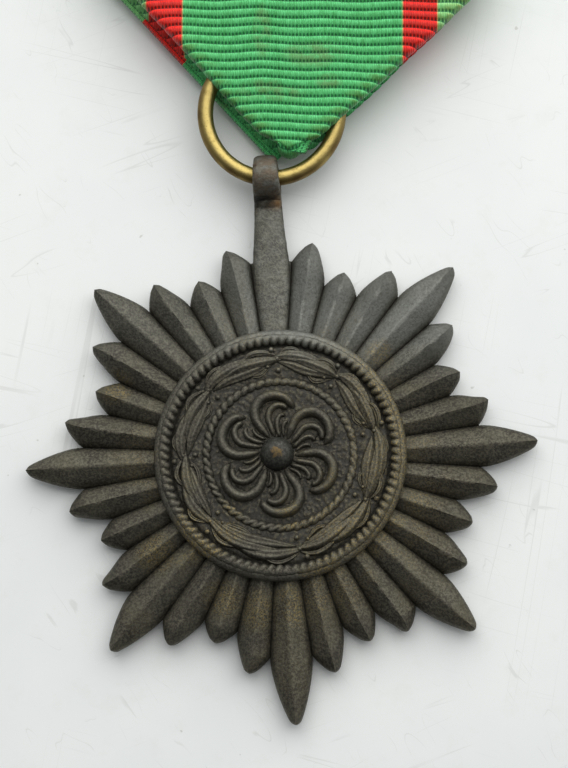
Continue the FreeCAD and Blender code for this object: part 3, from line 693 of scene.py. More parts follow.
def make_ray(shell, number):
    ray = Ray(number)
    front = ray.face(ray.radii, ray.sides, FRONT_SPOTS, ray.front_height)
    front[..., 2] += 0.035 * rough(front, 1.6) + 0.022 * rough(front, 0.45, 5.0)
    collar = front[:1] * (1, 1, 0) + (0, 0, HUB_TOP)
    tapered = ray.tapered[:, None]
    relief = (1 - 0.95 * np.abs(FRONT_SPOTS) ** 9) * (1 - 0.4 * tapered) + 0.3 * tapered
    relief = np.concatenate([np.zeros((3, len(FRONT_SPOTS))), relief])
    add_hub(shell, collar, np.concatenate([collar, front]), False, relief)
    squeeze = (SHORT_VALLEY - HUB_BACK) / (SHORT_VALLEY - HUB_FRONT)
    radii = np.where(ray.radii < SHORT_VALLEY, HUB_BACK + (ray.radii - HUB_FRONT) * squeeze, ray.radii)
    back = ray.face(radii, ray.outlines(radii), BACK_SPOTS, ray.back_height)
    foot = back[:1] * (1, 1, 0) + (0, 0, HUB_FOOT)
    flat = foot * (0.992, 0.992, 0)
    add_hub(shell, flat, np.concatenate([flat, foot, back]), True, 0.55)
    for side in (0, 1):
        make_ray_wall(shell, ray, front, back, side)


def make_ray_wall(shell, ray, front, back, side):
    """The free side of a ray, from its front edge to its back edge."""
    along, half, valley = ray.sides[side]
    rows = np.nonzero(ray.radii >= valley - 1e-9)[0]
    radii, drop = ray.radii[rows, None], np.linspace(0, 1, WALL_ROWS)
    swell = 0.04 * unit((radii - valley) / 0.5) * unit((ray.tip - radii) / 0.6)
    across = (1 if side else -1) * (half[rows, None] + swell * np.sin(math.pi * drop))
    wall = ray.to_star(surface(along[rows, None], across, 0))
    top, bottom = front[rows, -side, 2, None], back[rows, -side, 2, None]
    wall[..., 2] = top + (bottom - top) * drop
    shell.grid(wall, flip=bool(side), relief=0.4 + 0.2 * (1 - drop))


CURL_RADIUS, CURL_HOLE = 1.7, 0.96
CURL_THICK = CURL_RADIUS - CURL_HOLE
CURL_START, CURL_END = -96, 218
STRAP_BACK, STRAP_START, STRAP_END = 0.9, 9.3, LOOP_HEIGHT - 0.45
# tables of (place up the strap or degrees round the curl, value)
STRAP_TOPS = ((STRAP_START, 2.46), (12, 2.30), (15, 2.12), (18.6, 2.04), (STRAP_END, 1.70))
STRAP_HALVES = (
    (STRAP_START, 1.00), (10.8, 1.15), (13.3, 1.40), (15.2, 1.45),
    (16.3, 1.36), (18.0, 1.20), (20.0, 1.10), (STRAP_END, 1.07),
)
CURL_THICKS = ((CURL_START, 0.78), (-60, CURL_THICK), (60, CURL_THICK), (170, 0.62), (CURL_END, 0.20))
CURL_HALVES = ((CURL_START, 1.07), (0, 0.90), (50, 0.95), (110, 1.04), (180, 1.09), (CURL_END, 1.02))


def read_table(pairs, places):
    """The value of a table of (place, value) pairs at each place, straight between two pairs."""
    return np.interp(places, *zip(*pairs))


def make_strap(shell):
    """The flat strap that narrows upwards, curls over forwards and meets its own face."""
    straight = np.linspace(STRAP_START, STRAP_END, 62)
    top = read_table(STRAP_TOPS, straight)
    top = top + 0.50 * np.exp(-(((straight - 20.5) / 0.45) ** 2)) * (straight < 20.9)
    thick = top - STRAP_BACK
    degrees = np.linspace(CURL_START, CURL_END, 60)
    angles = np.radians(degrees)
    curl_thick = read_table(CURL_THICKS, degrees)
    middle = CURL_RADIUS - curl_thick / 2
    flat = np.stack([straight, STRAP_BACK + thick / 2], 1)
    ring = np.stack([LOOP_HEIGHT + middle * np.cos(angles), LOOP.z + middle * np.sin(angles)], 1)
    half = np.concatenate([read_table(STRAP_HALVES, straight), read_table(CURL_HALVES, degrees)])
    points, side = bent_strip(
        np.concatenate([flat, ring]), half[:, None], np.concatenate([thick, curl_thick])[:, None],
        squareness=0.5, sides=32, crown=0.07,
    )
    mouth = np.concatenate([np.zeros(len(straight)), ramp(degrees, 165, CURL_END)])[:, None]
    points[..., 1] -= 0.42 * mouth * side**2
    uneven = 0.030 * rough(points, 0.7, 3.0) + 0.016 * rough(points, 0.25, 8.0)
    points[..., 0] += uneven
    points[..., 2] += uneven
    shell.grid(points, wrap=True, caps=True, **strap_marks(points))


def strap_marks(points):
    """Worn face, brown and pocked loop, painted shade in the fold under the curl and along the curl's far
    rim, and one coppery spot.
    """
    x, y, z = points[..., 0], points[..., 1], points[..., 2]
    worn = 0.50 + 0.35 * rough(points, 0.55, 2.0)
    # painted shade: an arched band in the fold under the curl, stronger on the left
    arch = 20.62 - 0.62 * (x / 1.1) ** 2
    crease_shade = np.exp(-(((y - arch) / 0.40) ** 2)) * (z < 3.2)
    left_side = np.clip(0.8 - 0.35 * x, 0.35, 1)
    on_loop = ramp(y, 19.2, 20.4)
    blotch = 0.60 + 1.3 * rough(points, 0.45, 12.0) + 0.8 * rough(points, 0.16, 4.0)
    pocked = unit(1.6 * rough(points, 0.30, 21.0) - 0.25) * on_loop
    # painted shade along the curl's far rim
    rim = ramp(y, 23.25, 23.60) * ramp(-z, -2.9, -2.4)
    copper = np.exp(-((x - 0.75) ** 2 + (y - 20.1) ** 2) / 0.10)
    return {
        "relief": unit(worn + 0.25 * on_loop - crease_shade * left_side - 0.8 * pocked - 0.7 * rim),
        "brown": unit(on_loop * blotch * (1 - crease_shade)),
        "copper": copper * (z > 1.6),
    }


def make_star():
    shell = Shell()
    for number in range(RAYS):
        make_ray(shell, number)
    make_strap(shell)
    piece = shell.piece("star_casting", STAR_FRAME, sharp=60)
    finish = bronze("star_bronze", grey=0.50, brass=0.60, dark=0.80, grain=0.030)
    return place(piece, "star", ["star"], finish)


# ---------------------------------------------------------------- the medallion

SEAT = 2.55
GROUND = 2.88
PLATE_RADIUS = 9.82
# the plate's profile as (radius, height)
PLATE_PROFILE = (
    (0, 3.0), (1.2, 2.95), (5.2, GROUND), (5.7, 2.8), (6.2, GROUND), (8.3, GROUND), (8.6, 2.68),
    (8.95, 2.80), (9.2, 3.12), (9.34, 3.19), (9.5, 3.16), (9.68, 3.06), (PLATE_RADIUS, 2.86),
)
PEBBLE_SIZE = 0.27


def pebble_rows(grid, ground):
    """0 between pebbles and 1 on top of one, for the rows of the grid that are ground."""
    pebbles = np.zeros(grid.shape[:2])
    for i in np.nonzero(ground)[0]:
        flat = grid[i] / PEBBLE_SIZE * (1, 1, 0)
        near = [noise.voronoi(Vector(p))[0][0] for p in flat.tolist()]
        pebbles[i] = unit(1 - 1.5 * np.array(near))
    return pebbles


def make_plate():
    """The disc: a smooth flange, a channel for the cord, and pebbled ground."""
    inner, channel = np.linspace(0, 5.4, 44), np.linspace(5.45, 8.9, 34)
    radii = np.concatenate([inner, channel, np.linspace(8.95, PLATE_RADIUS, 14)])
    grid = revolve(np.column_stack([radii, read_table(PLATE_PROFILE, radii)]), 420)
    ground = ((radii > 1.4) & (radii < 5.4)) | ((radii > 6.0) & (radii < 8.5))
    pebbles = pebble_rows(grid, ground)
    grid[..., 2] += 0.10 * pebbles + 0.020 * rough(grid, 0.5)
    relief = np.where(ground[:, None], 0.05 + 0.42 * pebbles, 0.0)
    relief = np.where(radii[:, None] > 9.2, 1.0, relief)
    rim = grid[-1:] * (1, 1, 0) + (0, 0, SEAT + 0.02)
    under = rim * (0.985, 0.985, 0) + (0, 0, SEAT)
    relief = np.concatenate([relief, np.full((3, grid.shape[1]), 0.3)])
    whole = np.concatenate([grid, rim, under, under * (0, 0, 1)])
    return grid_piece("medallion_plate", STAR_FRAME, whole, sharp=70, relief=relief)


def make_cord(name, radius, half, base, beads, lean, lift, depth, merge=0.0, faint=0.0):
    """A corded border: a ring whose surface is cut by slanting grooves, fainter on the right."""
    turns, section = circle(beads * 9)[:, None], circle(22)
    right = np.cos(turns - 0.2)
    slant = lean * (1 - 0.5 * np.sin(turns))
    lobe = np.abs(np.sin((beads * turns + slant * np.cos(section)) / 2)) ** 0.45
    strength = (1 - merge * unit(np.cos(section) + 0.3)) * (1 - faint * (0.5 + 0.5 * right))
    shown = unit(np.sin(section) * 2 + 0.8)
    uneven = rough(surface(3 * np.cos(turns), 3 * np.sin(turns), 0), 0.35, 3.0)
    swell = (1 - depth * strength * (1 - lobe) * shown) * (1 + 0.16 * uneven)
    reach = radius + half * np.cos(section) * swell
    up = np.where(np.sin(section) > 0, lift, half) * np.sin(section) * swell
    points = surface(reach * np.cos(turns), reach * np.sin(turns), base + up)
    points[..., 2] += (0.03 + 0.10 * faint) * rough(points, 0.8, 4.0)
    points[..., 2] -= 0.13 * faint * (1 + right)
    relief = unit((1 - strength * (1 - lobe**1.5)) * unit(np.sin(section) + 0.3))
    return grid_piece(name, STAR_FRAME, closed(points), relief=closed(relief))


# each blade of a garland: its start and end along it, its offset, its half width and its height
BLADES = (
    (-0.06, 0.80, 0.46, 0.52, 0.46),
    (0.06, 0.98, -0.46, 0.48, 0.42),
    (0.22, 1.08, 0.12, 0.50, 0.58),
    (0.02, 0.46, 0.95, 0.20, 0.28),
    (0.50, 0.95, -0.95, 0.20, 0.26),
    (0.55, 1.02, 0.80, 0.24, 0.34),
)
WREATH_RADIUS = 7.36
# where two garlands meet, in degrees from the +X axis
KNOTS = (52, 12, -30, -80, -138, -181, -224, -270)
# the berries at a knot: radius from the centre, size, and turn past the knot in radians
BERRIES = ((8.22, 0.22, 0.035), (6.60, 0.21, -0.03), (7.5, 0.17, -0.02), (6.9, 0.15, 0.09))


def add_blade(shell, number, angle, offset, width, height):
    """One ribbed blade that follows the given angles round the wreath."""
    s = np.linspace(0, 1, len(angle))
    swelling = np.sin(math.pi * unit(s * 0.98 + 0.01))
    middle = WREATH_RADIUS + offset * (0.30 + 0.70 * swelling) + 0.05 * np.sin(8 * s + number)
    path = surface(middle * np.cos(angle), middle * np.sin(angle), GROUND - 0.02)
    half = width * swelling**0.75 + 0.02
    lift = height * (0.2 + 0.8 * swelling**0.6)
    points, relief = moulding(path, half, lift, sides=30, depth=0.12, power=0.9)
    veins = 0.5 + 0.5 * np.cos(np.cos(circle(30)) * 2.2 * math.pi + number)
    ribs = 0.11 * (veins - 0.5) * swelling[:, None]
    points[..., 2] += np.where(points[..., 2] > GROUND, ribs, 0)
    shell.grid(points, wrap=True, caps=True, relief=unit(relief * (0.5 + 0.5 * veins)))


def add_ball(shell, centre, size):
    """A closed ball, sunk into the face that it sits on."""
    turns, tilt = circle(14), np.linspace(-math.pi / 2, math.pi / 2, 9)[:, None]
    reach, up = size * np.cos(tilt), size * np.sin(tilt)
    points = np.array(centre) + surface(reach * np.cos(turns), reach * np.sin(turns), up)
    shell.grid(points, wrap=True, relief=unit(np.sin(tilt) + 0.1))


def make_wreath():
    """Eight garlands of ribbed blades that overlap, with a tie of berries where two meet."""
    shell = Shell()
    random = np.random.default_rng(4)
    for number, start in enumerate(KNOTS):
        end = KNOTS[(number + 1) % len(KNOTS)]
        end -= 360 if end > start else 0
        span, knot = math.radians(start - end), math.radians(start)
        for first, last, offset, width, height in BLADES:
            first += random.uniform(-0.03, 0.03)
            last += random.uniform(-0.03, 0.03)
            offset += random.uniform(-0.07, 0.07)
            angle = knot - span * (first + (last - first) * np.linspace(0, 1, 44))
            add_blade(shell, number, angle, offset, width, height)
        for radius, size, side in BERRIES:
            x, y = radius * math.cos(knot + side), radius * math.sin(knot + side)
            add_ball(shell, (x, y, GROUND + 0.22), size)
    return shell.piece("leaf_wreath", STAR_FRAME)


PETALS = 6
# the ridges of the petal that points to the loop: half width, height, and their points from the
# boss outwards and round clockwise
PETAL_RIDGES = (
    (0.41, 0.80, (
        (-0.44, 1.20), (-1.10, 2.05), (-1.52, 2.8), (-1.53, 3.6), (-1.12, 4.26),
        (-0.36, 4.58), (0.44, 4.52), (1.09, 4.12), (1.42, 3.45),
    )),
    (0.29, 0.66, (
        (-0.06, 1.20), (-0.36, 2.1), (-0.55, 2.85), (-0.34, 3.45), (0.14, 3.78), (0.69, 3.70), (0.92, 3.38),
    )),
    (0.22, 0.56, ((0.30, 1.20), (0.12, 2.0), (0.14, 2.6), (0.40, 2.98), (0.78, 3.02))),
    (0.16, 0.48, ((0.60, 1.25), (0.56, 1.95), (0.70, 2.36), (0.95, 2.52))),
)
PETAL_BED = ((-0.1, 1.2), (-0.5, 2.2), (-0.2, 3.2), (0.25, 3.9))
# the rosette and its boss sit a little off the centre
ROSETTE_SHIFT = (-0.22, 0.05)


def add_petal_ridge(shell, spin, half, height, controls):
    """One curled ridge of a petal, blunt at both ends."""
    count = 9 * len(controls)
    s = np.linspace(0, 1, count)
    bulge, ends = np.sin(math.pi * s), np.clip(np.minimum(s / 0.10, (1 - s) / 0.08), 0.02, 1) ** 0.5
    path = np.column_stack([curve_through(controls, count) @ spin.T, np.full(count, GROUND - 0.02)])
    lift, width = height * (0.72 + 0.28 * bulge) * ends, half * ends * (0.72 + 0.33 * bulge)
    points, relief = moulding(path, width, lift, sides=18, depth=0.1, power=0.9)
    points[..., :2] += ROSETTE_SHIFT
    shell.grid(points, wrap=True, caps=True, relief=relief**0.55)


def add_petal_bed(shell, spin):
    """The low bed between the ridges of a petal."""
    s = np.linspace(0, 1, 24)
    path = np.column_stack([curve_through(PETAL_BED, 24) @ spin.T, np.full(24, GROUND - 0.03)])
    width = 1.2 * np.sin(math.pi * (0.12 + 0.86 * s)) ** 0.6
    points, _ = moulding(path, width, np.full(24, 0.20), sides=20, depth=0.05)
    points[..., :2] += ROSETTE_SHIFT
    shell.grid(points, wrap=True, caps=True, relief=0.20)


def make_rosette():
    """Six petals, each a nest of curled ridges over a dark hollow."""
    shell = Shell()
    for petal in range(PETALS):
        cos, sin = math.cos(-petal * 2 * math.pi / PETALS), math.sin(-petal * 2 * math.pi / PETALS)
        spin = np.array([[cos, -sin], [sin, cos]])
        for half, height, controls in PETAL_RIDGES:
            add_petal_ridge(shell, spin, half, height, controls)
        add_petal_bed(shell, spin)
    return shell.piece("rosette", STAR_FRAME)


def make_stud():
    """The domed boss on its shank."""
    outline = [(0, 0.82), (0.55, 0.82), (0.58, 0.9), (0.58, 2.9), (1.28, 2.92), (1.31, 3.05), (1.29, 3.16)]
    for angle in np.radians(np.linspace(6, 90, 22)):
        outline.append((1.27 * math.cos(angle), 3.2 + 1.02 * math.sin(angle)))
    points = revolve(outline, 72, *ROSETTE_SHIFT)
    off_axis = np.array(outline)[:, :1] > 0.02
    points[..., 2] += 0.03 * rough(points, 0.5, 9.0) * off_axis
    relief = ramp(points[..., 2], 3.1, 4.2)
    piece = grid_piece("centre_boss", STAR_FRAME, points, sharp=75, relief=relief)
    return place(piece, "star", ["centre_stud"], boss_bronze())


def make_medallion():
    metal = bronze(
        "medallion_bronze", grey=1.0, brass=0.85, dark=0.72, grain=0.018, east_brass_highlight=0.8
    )
    pieces = [
        make_plate(),
        make_cord("outer_cord", 9.02, 0.46, 3.04, 90, 1.1, 0.38, 0.80, merge=0.85),
        make_cord("inner_cord", 5.72, 0.36, 2.90, 54, 2.1, 0.30, 0.70, faint=0.5),
        make_wreath(),
        make_rosette(),
    ]
    for piece in pieces:
        place(piece, "star", ["centre_medallion"], metal)


# ---------------------------------------------------------------- the ring

RING_RADIUS, WIRE_RADIUS, RING_DROP = 5.27, 0.64, 0.06


def make_ring():
    """Round wire, a little uneven, with painted shade outside and below."""
    turns, section = circle(240)[:, None], circle(36)
    wire = WIRE_RADIUS * (0.985 + 0.012 * np.sin(3 * turns + 1) * np.cos(section))
    reach = RING_RADIUS + wire * np.cos(section)
    up = RING_RADIUS - RING_DROP + reach * np.sin(turns)
    points = surface(reach * np.cos(turns), up, wire * np.sin(section))
    points += 0.008 * rough(points, 0.6, 6.0)[..., None]
    # painted shade on the wire's outer side and underside, broken up by noise
    outside, below = ramp(np.cos(section), 0.15, 0.70), ramp(-np.sin(section), 0.1, 0.6)
    tarnish = np.maximum(outside, below) * unit(0.75 + 0.6 * rough(points, 1.2, 2.0))
    piece = grid_piece("wire_ring", HANG_FRAME, closed(points), tarnish=closed(tarnish))
    return place(piece, "suspension_ring", ["suspension_ring"], brass_wire())


# ---------------------------------------------------------------- the ribbon

RIBBON_LEFT, RIBBON_RIGHT, RIBBON_TOP, RIBBON_MIDDLE = -14.35, 17.65, 46.0, 1.65
LEFT_SHOULDER, RIGHT_SHOULDER = 18.2, 16.1
POINT_LEFT, POINT_RIGHT, POINT_LOW = 0.39, 2.3, 1.75
LEAF_INNER, LEAF_FACE, TURN_IN = 0.75, 1.36, 0.55
CORD_PITCH, CORD_RISE, CORD_ROWS = 0.69, 0.17, 8
EDGE_STEPS = np.array([0.0, 0.04, 0.13, 0.28, 0.46, 0.68, 0.95])
# a border mark this high means that no folded edge is near
FAR_FROM_EDGE = 9.0


def leaf_edges(up, low, shift, spread, blunt_over):
    """Left and right edge of a leaf at a height up the ribbon."""
    left_share, right_share = ramp(up, POINT_LOW, LEFT_SHOULDER), ramp(up, POINT_LOW, RIGHT_SHOULDER)
    left = POINT_LEFT + (RIBBON_LEFT - shift - POINT_LEFT) * left_share
    right = POINT_RIGHT + spread * (1 - right_share) + (RIBBON_RIGHT - shift - POINT_RIGHT) * right_share
    blunt = np.sqrt(np.clip((up - low + 0.05) / blunt_over, 0.02, 1))
    middle = (left + right) / 2
    return middle + (left - middle) * blunt, middle + (right - middle) * blunt


def leaf_offsets(width, columns):
    """Places across a leaf from its left edge: close together by both edges, even in between."""
    steps = EDGE_STEPS * np.clip(width / 5.0, 0.05, 1)
    inner = np.linspace(0, 1, columns - 2 * len(EDGE_STEPS) + 2)[1:-1]
    first, last = steps[:, -1:], width - steps[:, -1:]
    return np.concatenate([steps, first + (last - first) * inner, width - steps[:, ::-1]], 1)


def leaf_rows(x, up, low_end, off_middle, width, edge_sag):
    """Place up the ribbon of each point: the cords sag by the folds and sway like worn cloth."""
    low = np.exp(-(up - low_end) / 5.0)
    y = up - edge_sag
    y = y - (0.012 + 0.035 * low) * (x - RIBBON_MIDDLE)
    y = y + 0.28 * low**3 * (2 * off_middle / np.maximum(width, 0.5)) ** 2
    y = y + 0.05 * np.sin(x * 1.1 + 0.25 * up) + 0.10 * np.exp(-(((x + 0.6) / 1.3) ** 2)) * (1 - low)
    return y + 0.025 * rough(surface(x * 0.5, y, 0), 0.6, 3.0)


def leaf_height(x, up, cord, border):
    """Height of a leaf's face off the ribbon's middle: cords, rolled edges and a slow wave."""
    rise = CORD_RISE * (1 - cord**2.4)
    roll = TURN_IN * (1 - np.sqrt(unit(1 - unit(1 - border / TURN_IN) ** 2)))
    inland = unit(border / 3)
    sway = 0.10 * np.sin(0.55 * x + 0.12 * up) * inland
    sway = sway - 0.12 * np.exp(-(((x + 0.2) / 0.9) ** 2)) * inland
    return LEAF_FACE - roll + rise * np.clip(border / 0.2, 0.25, 1) + sway


def make_leaf(shell, side, low_end, shift, spread, columns):
    """One leaf of the folded ribbon, ribbed on its outer face; side is 1 in front, -1 behind."""
    cords = int((RIBBON_TOP - low_end) / CORD_PITCH)
    phase = np.arange(cords * CORD_ROWS + 1)[:, None] / CORD_ROWS
    up = low_end + phase * (RIBBON_TOP - low_end) / cords
    cord = np.abs((phase % 1) * 2 - 1)
    folded_left, folded_right = up < LEFT_SHOULDER, up < RIGHT_SHOULDER
    left, right = leaf_edges(up, low_end, shift, spread, 1.3 if side > 0 else 0.9)
    left, right = left + 0.08 * cord**3 * folded_left, right - 0.08 * cord**3 * folded_right
    width = right - left
    offsets = leaf_offsets(width, columns)
    x = left + offsets
    border = np.minimum(offsets, width - offsets)
    folded = np.where(x < (left + right) / 2, folded_left, folded_right)
    y = leaf_rows(x, up, low_end, x - (left + right) / 2, width, 0.17 * np.exp(-border / 0.50) * folded)
    outer = surface(x, y, side * leaf_height(x, up, cord, border))
    outer[..., 2] += side * 0.02 * rough(outer, 0.9, 7.0)
    marks = {"across": x, "weft": x, "cord": phase, "border": border + FAR_FROM_EDGE * ~folded, "up": up}
    shell.grid(outer, flip=side < 0, **marks)
    few = np.linspace(0, outer.shape[1] - 1, 9).astype(int)
    lining = outer[:, few].copy()
    lining[:, 1:-1, 2] = side * LEAF_INNER
    inner_marks = {"across": x[:, few], "weft": x[:, few], "cord": phase, "border": FAR_FROM_EDGE, "up": up}
    shell.grid(lining, flip=side > 0, **inner_marks)
    shell.close_ends(outer, lining, marks)


# how the colour bands run along the turned-in edge: height up the ribbon, place across it
FLAP_BANDS = ((9.1, 0.0), (9.2, -8.5), (12.8, -8.5), (12.9, -12.0))


def make_flap(shell, low, high, inward, reach, level, ribs):
    """A turned-in stretch of ribbon along a fold: its cords run along the fold."""
    s, t = np.linspace(0, 1, 60)[:, None], np.linspace(0, 1, ribs * 8 + 1)
    start, end = np.array(low), np.array(high)
    cord = np.abs((t * ribs % 1) * 2 - 1)
    spine = start + (end - start) * s
    height = level + 0.16 * (1 - cord**2.2) - 0.30 * (1 - unit(t * 4)) ** 2
    x, y = spine[:, :1] + inward[0] * (reach * t), spine[:, 1:] + inward[1] * (reach * t)
    points = surface(x, y, height)
    points[..., 2] += 0.03 * rough(points, 0.8, 3.0)
    marks = {
        "across": read_table(FLAP_BANDS, spine[:, 1])[:, None],
        "weft": s * np.linalg.norm(end - start),
        "cord": (t * ribs)[None, :],
        "border": np.array([[FAR_FROM_EDGE]]),
        "up": y,
    }
    shell.grid(points, **marks)
    under = points.copy()
    under[:, 1:-1, 2] = level - 0.34
    shell.grid(under, flip=True, **marks)
    shell.close_ends(points, under, marks)


def make_turn(shell, left, right, low, depth, face, way, thick, rounding=0.0):
    """A stretch of ribbon that turns from the front leaf to the back leaf; way 1 is over the top."""
    angles = np.linspace(-math.pi / 2, math.pi / 2, 25)
    x = np.linspace(left, right, max(15, int((right - left) / 0.8)))[:, None]
    bulge = (1 - rounding * np.linspace(-1, 1, len(x))[:, None] ** 2) ** 0.5
    outside, inside = (
        surface(x, low + way * (depth - skin) * bulge * np.cos(angles), (face - skin) * np.sin(angles))
        for skin in (0.0, thick)
    )
    ring = np.concatenate([outside, inside[:, ::-1]], 1)
    border = 1.1 if rounding > 0 else FAR_FROM_EDGE
    cords = np.linspace(0, 5, ring.shape[1])
    shell.grid(ring, wrap=True, caps=True, across=x, weft=x, cord=cords, border=border, up=low)


def make_ribbon():
    """The whole folded strip: two leaves, the turned-in flap, the turn through the ring, the hem."""
    shell = Shell(("across", "weft", "cord", "border", "up"))
    make_leaf(shell, 1, POINT_LOW + 0.25, 0.0, 0.0, 84)
    make_leaf(shell, -1, POINT_LOW, 0.55, 0.15, 44)
    make_flap(shell, (0.10, 1.35), (-15.0, 17.75), (0.735, 0.678), 3.0, -0.98, 9)
    make_flap(shell, (2.75, 1.75), (3.6, 3.5), (-0.97, 0.1), 1.6, 1.04, 4)
    make_turn(shell, 0.55, 2.35, 2.55, 1.05, 1.44, -1.0, 0.5, rounding=0.85)
    make_turn(shell, RIBBON_LEFT, RIBBON_RIGHT - 0.3, RIBBON_TOP - 0.9, 1.1, 1.46, 1.0, 0.55)
    piece = shell.piece("ribbon_strip", HANG_FRAME)
    return place(piece, "ribbon", ["ribbon"], grosgrain())


HEM_STITCH_UP, HEM_STITCH_STEP = 43.6, 1.9


def make_hem_stitches(cotton):
    """Running stitches across the hem, front and back."""
    shell = Shell()
    s = np.linspace(-1, 1, 9)
    for side in (1, -1):
        for x in np.arange(RIBBON_LEFT + 1.2, RIBBON_RIGHT - 1.2, HEM_STITCH_STEP):
            rise = side * (LEAF_FACE + CORD_RISE + 0.02 + 0.10 * (1 - s**4))
            path = surface(x + 0.6 * s, HEM_STITCH_UP + 0.03 * np.sin(x * 5), rise)
            shell.grid(tube(path, 0.11, 8), wrap=True, caps=True)
    return place(shell.piece("hem_stitches", HANG_FRAME), "ribbon", [], cotton)


BUCKRAM_LEFT, BUCKRAM_RIGHT, BUCKRAM_LOW, BUCKRAM_HIGH, BUCKRAM_HALF = -13.2, 16.5, 21.0, 43.0, 0.42


def make_buckram():
    """A slip of coarse stiff linen with a slightly uneven weave."""
    x = np.linspace(BUCKRAM_LEFT, BUCKRAM_RIGHT, 90)
    y = np.linspace(BUCKRAM_LOW, BUCKRAM_HIGH, 68)[:, None]
    weave = 0.5 + 0.25 * (np.sin(2 * math.pi * x / 0.99) + np.sin(2 * math.pi * y / 0.97))
    top, under = (surface(x, y, side * (BUCKRAM_HALF - 0.09 + 0.09 * weave)) for side in (1, -1))
    shell = Shell()
    shell.grid(top)
    shell.grid(under, flip=True)
    for edge in (np.s_[0], np.s_[-1], np.s_[:, 0], np.s_[:, -1]):
        shell.grid(np.stack([top[edge], under[edge]]))
    piece = shell.piece("buckram_slip", HANG_FRAME, sharp=60)
    return place(piece, "ribbon", ["ribbon_stiffener"], buckram())


# ---------------------------------------------------------------- the brooch

BAR_HALF, BAR_TOP, BAR_LOW, LUG_LOW, LUG_WIDTH = 13.0, 42.4, 39.4, 35.9, 2.8
BAR_LEFT, BAR_RIGHT, BAR_MIDDLE = RIBBON_MIDDLE - BAR_HALF, RIBBON_MIDDLE + BAR_HALF, (BAR_TOP + BAR_LOW) / 2
BAR_FACE, BAR_THICK = -1.55, 0.8
NEEDLE_UP, PIVOT_X = 37.3, RIBBON_MIDDLE - 13.0 + 1.8
NEEDLE_Z, NEEDLE_RADIUS, EYE_THICK = -2.86, 0.4, 0.9
# the needle's thickness along it, as (distance from the pivot, radius)
NEEDLE_SIZES = ((0, NEEDLE_RADIUS), (20.6, NEEDLE_RADIUS), (22.4, 0.24), (23.8, 0.04))
RIVET_HEAD, GAP = 1.2, 0.12
STITCHES = (-11.2, -5.2, 5.2, 11.2)
STITCH_HALF = 0.9


def flat_plate(name, outlines, middle, thick, bevel):
    """A plate with soft edges from closed outlines; those inside the first one are holes."""
    curve = bpy.data.curves.new(name, "CURVE")
    curve.dimensions = "2D"
    curve.fill_mode = "BOTH"
    curve.extrude = (thick / 2 - bevel) * MM
    curve.bevel_depth = bevel * MM
    curve.bevel_resolution = 3
    curve.offset = -bevel * MM
    for outline in outlines:
        spline = curve.splines.new("POLY")
        spline.points.add(len(outline) - 1)
        for point, (x, y) in zip(spline.points, outline):
            point.co = (x * MM, y * MM, 0, 1)
        spline.use_cyclic_u = True
    holder = bpy.data.objects.new(name + "_outline", curve)
    bpy.context.scene.collection.objects.link(holder)
    bpy.context.view_layer.update()
    mesh = bpy.data.meshes.new_from_object(holder.evaluated_get(bpy.context.evaluated_depsgraph_get()))
    bpy.data.objects.remove(holder)
    mesh.name = name
    where = HANG_FRAME.copy()
    where[:3, 3] *= MM
    mesh.transform(Matrix(where) @ Matrix.Translation((0, 0, middle * MM)))
    return as_piece(name, mesh, 2e-7, 40)


def round_outline(x, y, radius, count=40):
    return [(x + radius * math.cos(a), y + radius * math.sin(a)) for a in circle(count)]


def make_bar(metal):
    """The bar with its two lugs, its pivot hole and two holes for each stitch."""
    outline = [
        (BAR_LEFT, LUG_LOW), (BAR_LEFT + LUG_WIDTH, LUG_LOW), (BAR_LEFT + LUG_WIDTH, BAR_LOW),
        (BAR_RIGHT - LUG_WIDTH, BAR_LOW), (BAR_RIGHT - LUG_WIDTH, LUG_LOW), (BAR_RIGHT, LUG_LOW),
        (BAR_RIGHT, BAR_TOP), (BAR_LEFT, BAR_TOP),
    ]
    holes = [round_outline(PIVOT_X, NEEDLE_UP, 0.6)]
    for stitch in STITCHES:
        for side in (-STITCH_HALF, STITCH_HALF):
            holes.append(round_outline(RIBBON_MIDDLE + stitch + side, BAR_MIDDLE, 0.42, 24))
    bar = flat_plate("brooch_plate", [outline, *holes], BAR_FACE - BAR_THICK / 2, BAR_THICK, 0.14)
    place(bar, "ribbon", ["brooch_bar"], metal)


def make_needle(metal):
    """The needle's flat eye and its round shank, which tapers to a point."""
    eye = [round_outline(PIVOT_X, NEEDLE_UP, 1.6, 56), round_outline(PIVOT_X, NEEDLE_UP, 0.65)]
    reach = np.concatenate([np.linspace(1.35, 20.6, 24), np.linspace(20.9, 23.8, 12)])[:, None]
    size, turns = read_table(NEEDLE_SIZES, reach), circle(24)
    up, height = NEEDLE_UP + size * np.cos(turns), NEEDLE_Z + size * np.sin(turns)
    plate = flat_plate("needle_eye", eye, NEEDLE_Z, EYE_THICK, 0.2)
    points = surface(PIVOT_X + reach, up, height)
    for piece in (plate, grid_piece("needle_shank", HANG_FRAME, points, sharp=60, caps=True)):
        place(piece, "brooch_pin", ["brooch_pin"], metal)


def make_rivet(metal):
    """A rivet flush with the bar, with a domed head under the needle's eye."""
    under = NEEDLE_Z - EYE_THICK / 2 - 0.06
    profile = [(0, BAR_FACE - 0.02), (0.5, BAR_FACE - 0.02), (0.58, BAR_FACE - 0.08), (0.58, under)]
    profile += [(1.1, under - 0.02), (RIVET_HEAD, under - 0.12)]
    for angle in np.radians(np.linspace(12, 90, 9)):
        profile.append((RIVET_HEAD * math.cos(angle), under - 0.12 - 0.32 * math.sin(angle)))
    rivet = grid_piece("rivet", HANG_FRAME, revolve(profile, 32, PIVOT_X, NEEDLE_UP), sharp=50)
    place(rivet, "ribbon", ["pin_rivet"], metal)


CATCH_END, CATCH_LENGTH, CATCH_SHEET, CATCH_BEND = BAR_RIGHT - 0.3, 2.6, 0.4, 0.3


